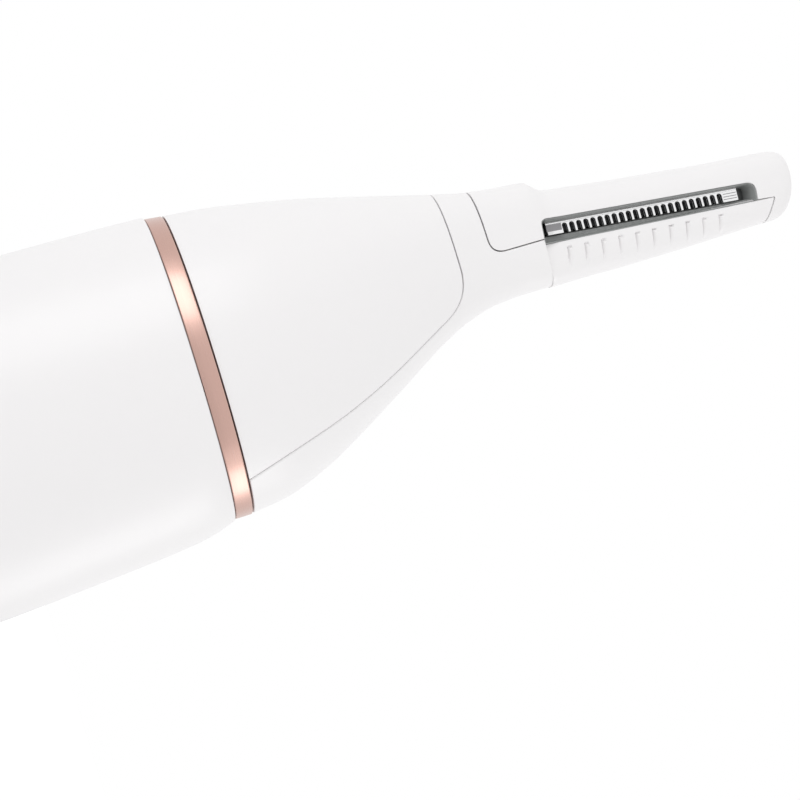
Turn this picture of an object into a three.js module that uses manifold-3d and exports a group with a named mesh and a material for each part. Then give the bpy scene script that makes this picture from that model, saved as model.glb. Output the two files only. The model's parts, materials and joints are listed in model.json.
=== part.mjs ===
// Side-comb hair trimmer, in millimetres.
// It stands on its base: +Z runs up the grip to the tip of the arm, -Y is the thumb side
// and +X is the side with the comb. Heights are measured from the base.

import * as THREE from 'three';
import { mergeVertices } from 'three/addons/utils/BufferGeometryUtils.js';
import Module from 'manifold-3d';

const wasm = await Module();
wasm.setup();

// Driving sizes of the gaps
const panelGap = 0.12;
const partingGap = 0.15;
const seatGap = 0.3;
const runningGap = 0.08;
const overrun = 2;

// Driving sizes of the walls
const gripWall = 1.6;
const headWall = 1.3;
const armWall = 0.8;
const plateWall = 1.5;

// Driving sizes of the cell and its contacts
const cellRadius = 7.25;
const cellLength = 50.5;
const nubRadius = 2.75;
const nubLength = 1.2;
const capFloor = 1.8;
const contactSheet = 0.4;
const springRoom = 5.5;
const trayGap = 0.35;
const trayWall = 1.3;
const capLength = 16;
const capSpigotLength = 3;

// Driving sizes of the motor
const canHalfWidth = 10.2;
const canHalfThickness = 7.55;
const canLength = 25.2;
const canSideRoom = 0.7;
const bellLength = 2.5;
const bossRadius = 3.05;
const bossLength = 1.6;
const shaftRadius = 1;
const padLength = 1.4;

// Driving sizes of the switch
const boardThickness = 1;
const boardRoom = 0.45;
const switchDepth = 2.8;
const switchRoom = 0.6;
const switchTravel = 4;
const knobLength = 13;
const knobWidth = 8;
const knobProud = 0.8;
const knobSink = 0.7;

// Driving sizes of the ring and the socket that carries the head
const ringBand = 1.55;
const collarRise = 4.5;
const deckThickness = 2;
const socketWall = 1.4;
const plugRise = 2.5;
const postRise = 1.7;
const bulkhead = 2;

// Driving sizes of the head
const coneLength = 27;
const neckLength = 5.35;
const armHalfDepth = 2.72;
const armFrontReach = 6.25;
const armBackReach = 2.45;
const tipLength = 4;

// Driving sizes of the comb and the moving blade
const toothPitch = 0.682;
const toothGaps = 23;
const toothGapWidth = 0.46;
const toothLength = 1.05;
const toothRoot = 0.15;
const combEnd = 1.4;
const combThickness = 0.4;
const combFlange = 0.9;
const bladeThickness = 0.35;
const bladeGap = 0.1;
const combSink = 0.87;
const combSlopeDegrees = 5.86;
const combDrop = 3;
const slotLead = 0.7;
const slotTail = 1.76;
const slotCornerRadius = 0.5;
const slotAboveRail = 0.44;
const slotAboveRailTip = 0.24;
const slotBelowTeeth = 0.88;
const slotBelowTeethTip = 0.5;

// Driving sizes of the drive
const camThrow = 0.4;
const camPinRadius = 0.6;
const camRadius = 2.8;
const camThickness = 1.8;
const camPinLength = 2.4;
const leverPinRadius = 0.75;
const leverThickness = 2.4;
const leverPivotRise = 13.75;
const leverPivotBack = 4;
const forkGap = 0.25;

// Heights up the grip, from the base, each resting on the one before
const cellBase = capFloor + contactSheet + springRoom + seatGap;
const cellTop = cellBase + cellLength;
const contactHeight = cellTop + seatGap;
const lowBulkheadHeight = contactHeight + contactSheet + seatGap;
const lowBulkheadTop = lowBulkheadHeight + plateWall;
const padHeight = lowBulkheadTop + seatGap;
const bellHeight = padHeight + padLength + seatGap;
const canHeight = bellHeight + bellLength;
const canTop = canHeight + canLength;
const highBulkheadHeight = canTop + seatGap;
const highBulkheadTop = highBulkheadHeight + bulkhead;
const postTop = highBulkheadTop + postRise;
const socketFloor = postTop + seatGap;
const socketFloorTop = socketFloor + plateWall;
const gripLength = socketFloorTop + plugRise;
const ringTop = gripLength + ringBand;
const headBase = ringTop + partingGap;
const deckHeight = headBase + collarRise;
const deckTop = deckHeight + deckThickness;
const socketTop = deckHeight - seatGap;
const camHeight = ringTop + seatGap;
const camTop = camHeight + camThickness;
const camPinTop = camTop + camPinLength;

// Widths of the grip at the ring: what the motor or the cell needs, whichever is wider
const capLineShare = 0.885;
const motorNeed = canHalfWidth + canSideRoom + gripWall;
const cellNeed = cellRadius + trayGap + trayWall + seatGap + gripWall;
const ringHalfDepth = Math.max(motorNeed, cellNeed / capLineShare);
const boardBack = canHalfThickness + boardRoom;
const boardFront = boardBack + boardThickness;
const switchFront = boardFront + switchDepth;
const ringHalfWidth = switchFront + switchRoom + gripWall;

// Lengths of the blade stack and the arm
const combLength = toothGaps * toothPitch + 2 * combEnd;
const slotLength = slotLead + combLength + slotTail;
const stepHeight = headBase + coneLength + neckLength;
const combHeight = stepHeight + slotLead + panelGap;
const armEnd = stepHeight + panelGap + slotLength;
const tipTop = armEnd + tipLength;
const combSlope = THREE.MathUtils.degToRad(combSlopeDegrees);

// Depths of the blade stack, measured out from the middle plane
const combTopDepth = armHalfDepth - combSink;
const combUnderDepth = combTopDepth - combThickness;
const bladeTopDepth = combUnderDepth - bladeGap;
const bladeUnderDepth = bladeTopDepth - bladeThickness;

// Finishes
const finishes = {
  gloss: { color: 0xf4f2ee, roughness: 0.28, metalness: 0 },
  inner: { color: 0xdcdad5, roughness: 0.55, metalness: 0 },
  dark: { color: 0x3b3d40, roughness: 0.6, metalness: 0 },
  rose: { color: 0xd9a68c, roughness: 0.22, metalness: 1 },
  blade: { color: 0xc9cbcd, roughness: 0.25, metalness: 1 },
  steel: { color: 0xb4b6b8, roughness: 0.35, metalness: 1 },
  contact: { color: 0xcaa55a, roughness: 0.35, metalness: 1 },
  rubber: { color: 0x2b2b2d, roughness: 0.85, metalness: 0 },
  board: { color: 0x2f6b45, roughness: 0.6, metalness: 0 },
  cell: { color: 0x7a7f86, roughness: 0.4, metalness: 0.2 },
};

const trimmer = new THREE.Group();

// Adds one named piece to the trimmer
function addPiece(name, finish, solid) {
  const mesh = new THREE.Mesh(geometryOf(solid), new THREE.MeshStandardMaterial(finishes[finish]));
  mesh.name = name;
  trimmer.add(mesh);
}

// Solids are joined and cut as closed triangle bodies
function solidOf(geometry) {
  const bare = geometry.clone();
  bare.deleteAttribute('uv');
  bare.deleteAttribute('normal');
  const merged = mergeVertices(bare);
  const vertProperties = new Float32Array(merged.attributes.position.array);
  const triVerts = new Uint32Array(merged.index.array);
  return new wasm.Manifold(new wasm.Mesh({ numProp: 3, vertProperties, triVerts }));
}

function geometryOf(solid) {
  const mesh = solid.getMesh();
  const geometry = new THREE.BufferGeometry();
  geometry.setAttribute('position', new THREE.BufferAttribute(mesh.vertProperties, mesh.numProp));
  geometry.setIndex(new THREE.BufferAttribute(mesh.triVerts, 1));
  geometry.computeVertexNormals();
  return geometry;
}

function joined(...solids) {
  return solids.reduce((sum, solid) => sum.add(solid));
}

function cut(solid, ...tools) {
  return tools.reduce((rest, tool) => rest.subtract(tool), solid);
}

// A value read off a table of stations by a smooth curve that never overshoots them
function stationValue(stations, column, height) {
  const last = stations.length - 1;
  const at = Math.min(Math.max(height, stations[0].height), stations[last].height);
  let low = 0;
  while (low < last - 1 && stations[low + 1].height < at) low += 1;
  const slope = (i) => {
    const next = stations[i + 1];
    const here = stations[i];
    return (next[column] - here[column]) / (next.height - here.height);
  };
  const tangent = (i) => {
    if (i === 0) return slope(0);
    if (i === last) return slope(last - 1);
    const before = slope(i - 1);
    const after = slope(i);
    return before * after <= 0 ? 0 : (2 * before * after) / (before + after);
  };
  const span = stations[low + 1].height - stations[low].height;
  const t = (at - stations[low].height) / span;
  const rise = t * t * (3 - 2 * t);
  const lead = t * (1 - t) * (1 - t) * span * tangent(low);
  const trail = t * t * (t - 1) * span * tangent(low + 1);
  return stations[low][column] * (1 - rise) + stations[low + 1][column] * rise + lead + trail;
}

// One closed ring of a body: a rounded oval set in by a wall
function ovalRing(stations, height, inset, sides) {
  const front = stationValue(stations, 'front', height) - inset;
  const back = stationValue(stations, 'back', height) - inset;
  const half = stationValue(stations, 'half', height) - inset;
  const power = 2 / stationValue(stations, 'square', height);
  const middle = (back - front) / 2;
  const reach = (back + front) / 2;
  const ring = [];
  for (let i = 0; i < sides; i += 1) {
    const angle = (2 * Math.PI * i) / sides;
    const across = Math.cos(angle);
    const along = Math.sin(angle);
    const x = half * Math.sign(across) * Math.abs(across) ** power;
    const y = middle + reach * Math.sign(along) * Math.abs(along) ** power;
    ring.push(new THREE.Vector3(x, y, height));
  }
  return ring;
}

// A closed body through a stack of rings with as many points each
function loftThrough(rings) {
  const sides = rings[0].length;
  const positions = [];
  const index = [];
  rings.forEach((ring) => ring.forEach((point) => positions.push(point.x, point.y, point.z)));
  for (let row = 0; row < rings.length - 1; row += 1) {
    for (let i = 0; i < sides; i += 1) {
      const a = row * sides + i;
      const b = row * sides + ((i + 1) % sides);
      index.push(a, b, b + sides, a, b + sides, a + sides);
    }
  }
  const top = (rings.length - 1) * sides;
  for (let i = 1; i < sides - 1; i += 1) {
    index.push(0, i + 1, i);
    index.push(top, top + i, top + i + 1);
  }
  const geometry = new THREE.BufferGeometry();
  geometry.setAttribute('position', new THREE.Float32BufferAttribute(positions, 3));
  geometry.setIndex(index);
  return solidOf(geometry);
}

// The part of a body between two heights, set in by a wall; step is the most between two rings
function bodyPart(stations, low, high, inset, step, sides) {
  const between = stations.map((s) => s.height).filter((h) => h > low + step / 4 && h < high - step / 4);
  const stops = [low, ...between, high];
  const rings = [];
  stops.slice(1).forEach((stop, i) => {
    const start = stops[i];
    const rows = Math.max(1, Math.ceil((stop - start) / step));
    for (let row = 0; row < rows; row += 1) {
      const height = start + ((stop - start) * row) / rows;
      rings.push(ovalRing(stations, height, insetAt(inset, height), sides));
    }
  });
  rings.push(ovalRing(stations, high, insetAt(inset, high), sides));
  return loftThrough(rings);
}

function insetAt(inset, height) {
  return typeof inset === 'function' ? inset(height) : inset;
}

// A side outline, drawn as height against reach to the front, made solid between two depths
function sideSolid(outline, fromDepth, toDepth) {
  const geometry = new THREE.ExtrudeGeometry(outline, {
    depth: toDepth - fromDepth,
    bevelEnabled: false,
    curveSegments: 6,
  });
  const up = new THREE.Vector3(0, 0, 1);
  const front = new THREE.Vector3(0, -1, 0);
  const across = new THREE.Vector3(1, 0, 0);
  geometry.applyMatrix4(new THREE.Matrix4().makeBasis(up, front, across));
  geometry.translate(fromDepth, 0, 0);
  return solidOf(geometry);
}

// A plan outline, drawn in X and Y, made solid between two heights
function planSolid(outline, low, high) {
  const geometry = new THREE.ExtrudeGeometry(outline, {
    depth: high - low,
    bevelEnabled: false,
    curveSegments: 10,
  });
  geometry.translate(0, 0, low);
  return solidOf(geometry);
}

function cylinderUp(radius, low, high, x = 0, y = 0, sides = 24) {
  const geometry = new THREE.CylinderGeometry(radius, radius, high - low, sides);
  geometry.rotateX(Math.PI / 2);
  geometry.translate(x, y, (low + high) / 2);
  return solidOf(geometry);
}

function cylinderAcross(radius, fromDepth, toDepth, front, height, sides = 24) {
  const geometry = new THREE.CylinderGeometry(radius, radius, toDepth - fromDepth, sides);
  geometry.rotateZ(Math.PI / 2);
  geometry.translate((fromDepth + toDepth) / 2, -front, height);
  return solidOf(geometry);
}

// A box between two corners
function block(x0, x1, y0, y1, z0, z1) {
  const geometry = new THREE.BoxGeometry(x1 - x0, y1 - y0, z1 - z0);
  geometry.translate((x0 + x1) / 2, (y0 + y1) / 2, (z0 + z1) / 2);
  return solidOf(geometry);
}

function outlineOf(points) {
  return new THREE.Shape(points.map(([across, along]) => new THREE.Vector2(across, along)));
}

function stadium(halfWidth, halfLength) {
  const straight = halfLength - halfWidth;
  const shape = new THREE.Shape();
  shape.absarc(0, straight, halfWidth, 0, Math.PI, false);
  shape.absarc(0, -straight, halfWidth, Math.PI, 2 * Math.PI, false);
  return shape;
}

// Profile of the grip: shares of its length and of its half sizes at the ring
const gripShares = [
  { height: 0, front: 0.755, back: 0.815, half: 0.755, square: 2.2 },
  { height: 0.004, front: 0.79, back: 0.85, half: 0.79, square: 2.2 },
  { height: 0.013, front: 0.81, back: 0.87, half: 0.81, square: 2.2 },
  { height: 0.16, front: 0.885, back: 0.955, half: 0.885, square: 2.2 },
  { height: 0.36, front: 0.945, back: 1.05, half: 0.935, square: 2.2 },
  { height: 0.56, front: 1.002, back: 1.15, half: 0.985, square: 2.2 },
  { height: 0.74, front: 1.032, back: 1.18, half: 1.018, square: 2.2 },
  { height: 0.87, front: 1.032, back: 1.132, half: 1.02, square: 2.15 },
  { height: 0.955, front: 1.023, back: 1.083, half: 1.01, square: 2.1 },
  { height: 0.98, front: 1.018, back: 1.053, half: 1.006, square: 2.1 },
  { height: 1, front: 1.012, back: 1.004, half: 1, square: 2.1 },
];
const grip = gripShares.map((share) => ({
  height: share.height * gripLength,
  front: share.front * ringHalfWidth,
  back: share.back * ringHalfWidth,
  half: share.half * ringHalfDepth,
  square: share.square,
}));
const gripSides = 32;
const gripStep = 22;

// Profile of the cone: shares of the cone's length and of the half sizes at the ring
const coneShares = [
  { height: 0, front: 0.986, back: 0.996, half: 0.985, square: 2.1 },
  { height: 0.12, front: 0.966, back: 0.966, half: 0.965, square: 2.1 },
  { height: 0.28, front: 0.915, back: 0.859, half: 0.905, square: 2.15 },
  { height: 0.45, front: 0.85, back: 0.69, half: 0.79, square: 2.2 },
  { height: 0.62, front: 0.771, back: 0.503, half: 0.645, square: 2.25 },
  { height: 0.78, front: 0.692, back: 0.324, half: 0.505, square: 2.35 },
  { height: 0.89, front: 0.639, back: 0.228, half: 0.412, square: 2.45 },
  { height: 1, front: 0.59, back: 0.174, half: 0.335, square: 2.55 },
];
const cone = coneShares.map((share) => ({
  height: headBase + share.height * coneLength,
  front: share.front * ringHalfWidth,
  back: share.back * ringHalfWidth,
  half: share.half * ringHalfDepth,
  square: share.square,
}));

// Profile of the neck and the arm: shares of the arm's half sizes
const neckShares = [
  { height: 0.55, front: 1.262, back: 0.92, half: 1.32, square: 2.65 },
  { height: 1, front: 1.225, back: 0.93, half: 1.21, square: 2.75 },
];
const armShares = [
  { height: 0.075, front: 1.04, back: 0.94, half: 1.055, square: 2.8 },
  { height: 0.14, front: 1.008, back: 0.97, half: 1.01, square: 2.8 },
  { height: 0.36, front: 0.908, back: 1.01, half: 0.985, square: 2.8 },
  { height: 0.6, front: 0.815, back: 1.01, half: 0.955, square: 2.8 },
  { height: 0.82, front: 0.73, back: 0.985, half: 0.92, square: 2.8 },
  { height: 1, front: 0.676, back: 0.97, half: 0.89, square: 2.8 },
];
const tipShares = [
  { height: 0.38, front: 0.657, back: 0.965, half: 0.87, square: 2.7 },
  { height: 0.62, front: 0.638, back: 0.8, half: 0.83, square: 2.6 },
  { height: 0.82, front: 0.595, back: 0.44, half: 0.73, square: 2.45 },
  { height: 0.94, front: 0.53, back: 0.02, half: 0.57, square: 2.3 },
  { height: 1, front: 0.43, back: -0.4, half: 0.36, square: 2.1 },
];

// Stations of one stretch of the arm
function armStations(shares, low, length) {
  return shares.map((share) => ({
    height: low + share.height * length,
    front: share.front * armFrontReach,
    back: share.back * armBackReach,
    half: share.half * armHalfDepth,
    square: share.square,
  }));
}

const neck = armStations(neckShares, headBase + coneLength, neckLength);
const slimArm = armStations(armShares, stepHeight, armEnd - stepHeight);
const tip = armStations(tipShares, armEnd, tipLength);
const head = [...cone, ...neck, ...slimArm, ...tip];
const headSides = 28;
const headStep = 5;
const thickWallShare = 0.6;

// The wall of the head thins from the cone to the arm along the upper part of the cone
function headInset(height) {
  const thinFrom = headBase + thickWallShare * coneLength;
  const share = THREE.MathUtils.clamp((height - thinFrom) / (headBase + coneLength - thinFrom), 0, 1);
  return THREE.MathUtils.lerp(headWall, armWall, share);
}

// Trim ring, between the grip and the head: a share of its front is drawn in at the top
const ringFrontShare = 0.988;
const ringStations = [
  { ...grip[grip.length - 1], height: gripLength, front: ringHalfWidth, back: ringHalfWidth },
  { ...grip[grip.length - 1], height: ringTop, front: ringFrontShare * ringHalfWidth, back: ringHalfWidth },
];
const socketOuter = gripWall + seatGap + plateWall;
const ringInner = socketOuter - seatGap;

function trimRing() {
  const body = bodyPart(ringStations, gripLength, ringTop, 0, gripStep, gripSides);
  const bore = bodyPart(ringStations, gripLength - overrun, ringTop + overrun, ringInner, gripStep, gripSides);
  return cut(body, bore);
}

// Switch: a knob in a recess of the grip, on the motor's height
const switchHeightShare = 0.1;
const windowShare = 0.22;
const ribPitchShare = 0.13;
const ribWidthShare = 0.5;
const ribAreaShares = { across: 0.36, along: 0.42 };
const knobRibProud = knobProud * 1.35;
const ribCount = 5;
const switchHeight = canHeight + canLength * switchHeightShare;
const knobWindowHalf = knobWidth * windowShare;
const stemHalf = knobWindowHalf - seatGap;
const stemHalfLength = switchTravel / 2;

function frontPlan(outline, height, fromReach, toReach) {
  const geometry = new THREE.ExtrudeGeometry(outline, {
    depth: toReach - fromReach,
    bevelEnabled: false,
    curveSegments: 6,
  });
  geometry.rotateX(Math.PI / 2);
  geometry.translate(0, -fromReach, height);
  return solidOf(geometry);
}

function gripCasing() {
  const low = capLength + partingGap;
  const high = gripLength - partingGap;
  const shell = cut(
    bodyPart(grip, low, high, 0, gripStep, gripSides),
    bodyPart(grip, low - overrun, high + overrun, gripWall, gripStep, gripSides),
  );
  const middle = switchHeight + switchTravel / 2;
  const recessLength = knobLength + switchTravel + 2 * seatGap;
  const recess = cut(
    frontPlan(stadium(knobWidth / 2 + seatGap, recessLength / 2), middle, boardBack, 2 * ringHalfWidth),
    bodyPart(grip, middle - recessLength, middle + recessLength, knobSink, gripStep, gripSides),
  );
  const windowLength = stemHalfLength + switchTravel / 2 + 2 * seatGap;
  const window = frontPlan(stadium(knobWindowHalf, windowLength), middle, boardBack, 2 * ringHalfWidth);
  return cut(shell, recess, window);
}

// The part of the grip's body beside the knob, set in or, where the inset is below zero, standing proud
function besideKnob(inset, reach) {
  return bodyPart(grip, switchHeight - reach, switchHeight + reach, inset, gripStep, gripSides);
}

function switchKnob() {
  const outside = besideKnob(-knobProud, knobLength);
  const inside = besideKnob(knobSink - partingGap, 2 * knobLength);
  const plan = frontPlan(stadium(knobWidth / 2, knobLength / 2), switchHeight, boardBack, 2 * ringHalfWidth);
  const ribs = [];
  const ribPitch = knobLength * ribPitchShare;
  const ribHalf = (ribPitch * ribWidthShare) / 2;
  for (let i = 0; i < ribCount; i += 1) {
    const middle = switchHeight + (i - (ribCount - 1) / 2) * ribPitch;
    ribs.push(block(-knobWidth / 2, knobWidth / 2, -2 * ringHalfWidth, -boardBack,
      middle - ribHalf, middle + ribHalf));
  }
  const ribArea = stadium(knobWidth * ribAreaShares.across, knobLength * ribAreaShares.along);
  const narrow = frontPlan(ribArea, switchHeight, boardBack, 2 * ringHalfWidth);
  const grips = joined(...ribs).intersect(narrow).intersect(besideKnob(-knobRibProud, knobLength));
  const pad = joined(plan.intersect(outside), grips).subtract(inside);
  const stem = frontPlan(stadium(stemHalf, stemHalfLength), switchHeight, switchFront + seatGap, ringHalfWidth);
  return joined(pad, stem);
}

const switchHalfWidth = knobWidth * 0.4;
const switchHalfLength = stemHalfLength + switchTravel;

function switchBody() {
  const middle = switchHeight + switchTravel / 2;
  const body = block(-switchHalfWidth, switchHalfWidth, -switchFront, -boardFront,
    middle - switchHalfLength, middle + switchHalfLength);
  const track = block(-stemHalf, stemHalf, -switchFront - overrun, -boardFront - switchDepth / 2,
    middle - switchTravel / 2 - stemHalf - seatGap, middle + switchTravel / 2 + stemHalf + seatGap);
  return cut(body, track);
}

function switchToggle() {
  const half = stemHalf - partingGap;
  return block(-half, half, -switchFront, -boardFront - switchDepth / 2 - seatGap,
    switchHeight - stemHalf, switchHeight + stemHalf);
}

function switchBoard() {
  const half = canHalfWidth * 0.6;
  return block(-half, half, -boardFront, -boardBack, lowBulkheadTop + seatGap, canTop);
}

// Motor: a round can with two flats, its end bell, terminals and front boss
function canOutline(radius, halfThickness) {
  const flat = Math.asin(halfThickness / radius);
  const shape = new THREE.Shape();
  shape.absarc(0, 0, radius, -flat, flat, false);
  shape.absarc(0, 0, radius, Math.PI - flat, Math.PI + flat, false);
  return shape;
}

const shaftSeatLength = canLength * 0.2;
const bellShare = 0.94;
const terminalShares = { middle: 0.72, half: 0.16 };
const boreTop = camTop - camThickness / 3;

function motorCan() {
  const can = planSolid(canOutline(canHalfWidth, canHalfThickness), canHeight, canTop);
  const bossTop = canTop + bossLength;
  const boss = cylinderUp(bossRadius, canTop - overrun, bossTop);
  const bore = cylinderUp(shaftRadius + runningGap, canTop - shaftSeatLength, bossTop + overrun, 0, 0, 16);
  return cut(joined(can, boss), bore);
}

function motorEndBell() {
  const outline = canOutline(canHalfWidth * bellShare, canHalfThickness * bellShare);
  const bell = planSolid(outline, bellHeight, canHeight);
  const slotTop = canHeight - bellLength / 3;
  const slots = [-1, 1].map((side) => terminalBlock(side, seatGap, bellHeight - overrun, slotTop));
  return cut(bell, ...slots);
}

// One of the two brass tabs at the back of the motor
function terminalBlock(side, room, low, high) {
  const middle = side * canHalfWidth * terminalShares.middle;
  const halfThickness = contactSheet / 2 + room;
  const halfWidth = canHalfThickness * terminalShares.half + room;
  return block(middle - halfThickness, middle + halfThickness, -halfWidth, halfWidth, low, high);
}

function motorTerminal(side) {
  return terminalBlock(side, 0, padHeight, canHeight - bellLength / 3 - seatGap);
}

function motorShaft() {
  return cylinderUp(shaftRadius, canTop - shaftSeatLength + seatGap, boreTop - runningGap, 0, 0, 16);
}

function driveCam() {
  const disc = cylinderUp(camRadius, camHeight, camTop);
  const pin = cylinderUp(camPinRadius, camTop - camThickness / 4, camPinTop, 0, -camThrow, 16);
  const bore = cylinderUp(shaftRadius + runningGap, camHeight - overrun, boreTop, 0, 0, 16);
  return cut(joined(disc, pin), bore);
}

// Chassis: the cell's tray, the two bulkheads and the spine between them
const trayRadius = cellRadius + trayGap;
const trayOuter = trayRadius + trayWall;
const trayBase = capLength + capSpigotLength + seatGap;
const socketScrewReach = canHalfThickness * 0.9;
const screwRadius = 0.9;
const screwHeadRadius = 1.8;
const screwHeadHeight = 1;

function chassis() {
  const tube = cut(
    cylinderUp(trayOuter, trayBase, lowBulkheadTop, 0, 0, 32),
    cylinderUp(trayRadius, trayBase - overrun, lowBulkheadHeight, 0, 0, 32),
  );
  const open = block(-trayOuter, trayOuter, -trayOuter - overrun, -trayRadius * 0.35,
    trayBase + plateWall, lowBulkheadHeight);
  const low = bodyPart(grip, lowBulkheadHeight, lowBulkheadTop, gripWall + seatGap, gripStep, gripSides);
  const high = bodyPart(grip, highBulkheadHeight, highBulkheadTop, gripWall + seatGap, gripStep, gripSides);
  const boardSlot = block(-canHalfWidth * 0.65, canHalfWidth * 0.65, -2 * ringHalfWidth, -boardBack + seatGap,
    lowBulkheadTop - plateWall / 3, lowBulkheadTop + overrun);
  const bossHole = cylinderUp(bossRadius + seatGap, highBulkheadHeight - overrun, highBulkheadTop + overrun);
  const spine = block(-canHalfWidth * 0.55, canHalfWidth * 0.55, boardBack, boardBack + trayWall,
    lowBulkheadTop - plateWall / 2, highBulkheadHeight + bulkhead / 2);
  const posts = [-1, 1].map((side) => cylinderUp(screwHeadRadius, highBulkheadTop - bulkhead / 2, postTop,
    0, side * socketScrewReach, 16));
  const pilots = [-1, 1].map((side) => cylinderUp(screwRadius + runningGap, highBulkheadHeight - overrun,
    postTop + overrun, 0, side * socketScrewReach, 12));
  const nubHole = cylinderUp(nubRadius * 0.6, lowBulkheadHeight - overrun, lowBulkheadTop + overrun);
  const frame = joined(cut(tube, open), low, high, spine, ...posts);
  return cut(frame, boardSlot, bossHole, nubHole, ...pilots);
}

function socketScrew(side) {
  const y = side * socketScrewReach;
  const shank = cylinderUp(screwRadius, highBulkheadHeight + seatGap, socketFloorTop + seatGap / 2, 0, y, 12);
  const headTop = socketFloorTop + screwHeadHeight;
  const cap = cylinderUp(screwHeadRadius * 0.9, socketFloorTop, headTop, 0, y, 16);
  const slotHalf = screwRadius * 0.25;
  const slot = block(-screwHeadRadius, screwHeadRadius, y - slotHalf, y + slotHalf,
    headTop - screwHeadHeight / 2, headTop + overrun);
  return cut(joined(shank, cap), slot);
}

// Socket: the plug that closes the grip and the collar that the head slides on
function headSocket() {
  const plug = bodyPart(grip, socketFloor, gripLength - partingGap, gripWall + seatGap, gripStep, gripSides);
  const collar = bodyPart(ringStations, gripLength - plateWall, socketTop, socketOuter, gripStep, gripSides);
  const hollow = bodyPart(ringStations, socketFloorTop, socketTop + overrun, socketOuter + socketWall,
    gripStep, gripSides);
  const sealHole = cylinderUp(bossRadius, socketFloor - overrun, socketTop);
  const holes = [-1, 1].map((side) => cylinderUp(screwRadius + runningGap, socketFloor - overrun,
    socketFloorTop + overrun, 0, side * socketScrewReach, 12));
  return cut(joined(plug, collar), hollow, sealHole, ...holes);
}

// Lathed ring about the grip's axis: profile points are radius and height
function lathed(points, sides) {
  const profile = [...points, points[0]].map(([radius, height]) => new THREE.Vector2(radius, height));
  const geometry = new THREE.LatheGeometry(profile, sides);
  geometry.rotateX(Math.PI / 2);
  return solidOf(geometry);
}

function shaftSeal() {
  const bore = shaftRadius + runningGap;
  const outer = bossRadius - runningGap;
  const lip = (bore + outer) / 2;
  return lathed([
    [bore, socketFloorTop],
    [bore, socketFloorTop - plateWall / 3],
    [lip, socketFloor],
    [outer, socketFloor],
    [outer, socketFloorTop],
    [outer + seatGap, socketFloorTop + runningGap],
    [outer + seatGap, socketFloorTop + seatGap],
    [lip, socketFloorTop + 2 * seatGap],
  ], 20);
}

// Cell, its contacts and the strip to the switch
function batteryCell() {
  return lathed([
    [0, cellBase],
    [cellRadius * 0.9, cellBase],
    [cellRadius, cellBase + cellRadius * 0.08],
    [cellRadius, cellTop - nubLength - cellRadius * 0.08],
    [cellRadius * 0.92, cellTop - nubLength],
    [0, cellTop - nubLength],
  ], 28);
}

function cellTerminal() {
  return cylinderUp(nubRadius, cellTop - nubLength, cellTop);
}

function positiveContact() {
  const half = trayRadius * 0.72;
  const plate = block(-half, half, -half / 2, half / 2, contactHeight, contactHeight + contactSheet);
  const pip = cylinderUp(nubRadius / 2, contactHeight, contactHeight + contactSheet + seatGap / 2);
  const tab = block(-half / 3, half / 3, -trayOuter - trayWall, -half / 2 + contactSheet,
    contactHeight, contactHeight + contactSheet);
  return joined(plate, pip, tab);
}

function negativeStrip() {
  const half = trayRadius * 0.25;
  const back = trayOuter + seatGap / 3;
  return block(-half, half, back, back + contactSheet, trayBase, lowBulkheadHeight - partingGap);
}

// Battery cap: carries the base, pulls off downwards
const capInner = gripWall + seatGap + trayWall - runningGap;
const spigotTop = capLength + capSpigotLength;
const sealBand = 1;
const sealHeight = capLength + capSpigotLength * 0.35;
const grooveInset = gripWall + seatGap + sealBand / 2;

function batteryCap() {
  const shell = bodyPart(grip, 0, capLength, 0, gripStep, gripSides);
  const spigot = bodyPart(grip, capLength - gripWall, spigotTop, gripWall + seatGap, gripStep, gripSides);
  const hollow = bodyPart(grip, capFloor, spigotTop + overrun, capInner, gripStep, gripSides);
  const high = sealHeight + sealBand;
  const groove = cut(
    bodyPart(grip, sealHeight, high, 0, gripStep, gripSides),
    bodyPart(grip, sealHeight - overrun, high + overrun, grooveInset, gripStep, gripSides),
  );
  return cut(joined(shell, spigot), hollow, groove);
}

function capSeal() {
  const low = sealHeight + runningGap;
  const high = sealHeight + sealBand - runningGap;
  return cut(
    bodyPart(grip, low, high, gripWall + runningGap, gripStep, gripSides),
    bodyPart(grip, low - overrun, high + overrun, grooveInset - runningGap, gripStep, gripSides),
  );
}

function capContact() {
  const half = cellRadius * 0.75;
  return cylinderUp(half, capFloor, capFloor + contactSheet);
}

// Contact spring: a cone of round wire between the cap's contact and the cell
const springWire = 0.35;
const springTurns = 4.5;
const springShares = { low: 0.6, high: 0.32 };

function contactSpring() {
  class ConeHelix extends THREE.Curve {
    getPoint(share, target = new THREE.Vector3()) {
      const low = capFloor + contactSheet + springWire + runningGap;
      const high = cellBase - springWire - runningGap;
      const radius = cellRadius * THREE.MathUtils.lerp(springShares.low, springShares.high, share);
      const angle = share * springTurns * 2 * Math.PI;
      const height = THREE.MathUtils.lerp(low, high, share);
      return target.set(radius * Math.cos(angle), radius * Math.sin(angle), height);
    }
  }
  const wire = new THREE.Shape();
  wire.absarc(0, 0, springWire, 0, 2 * Math.PI, false);
  const steps = Math.round(springTurns * 9);
  const geometry = new THREE.ExtrudeGeometry(wire, {
    steps,
    extrudePath: new ConeHelix(),
    curveSegments: 3,
    bevelEnabled: false,
  });
  return solidOf(geometry);
}

// Seams of the head, as height against reach to the front
const coverSeamHeight = headBase + coneLength * 0.879;
const coverSeamShares = { corner: -0.103, bend: -0.532, base: -0.822 };

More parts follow.
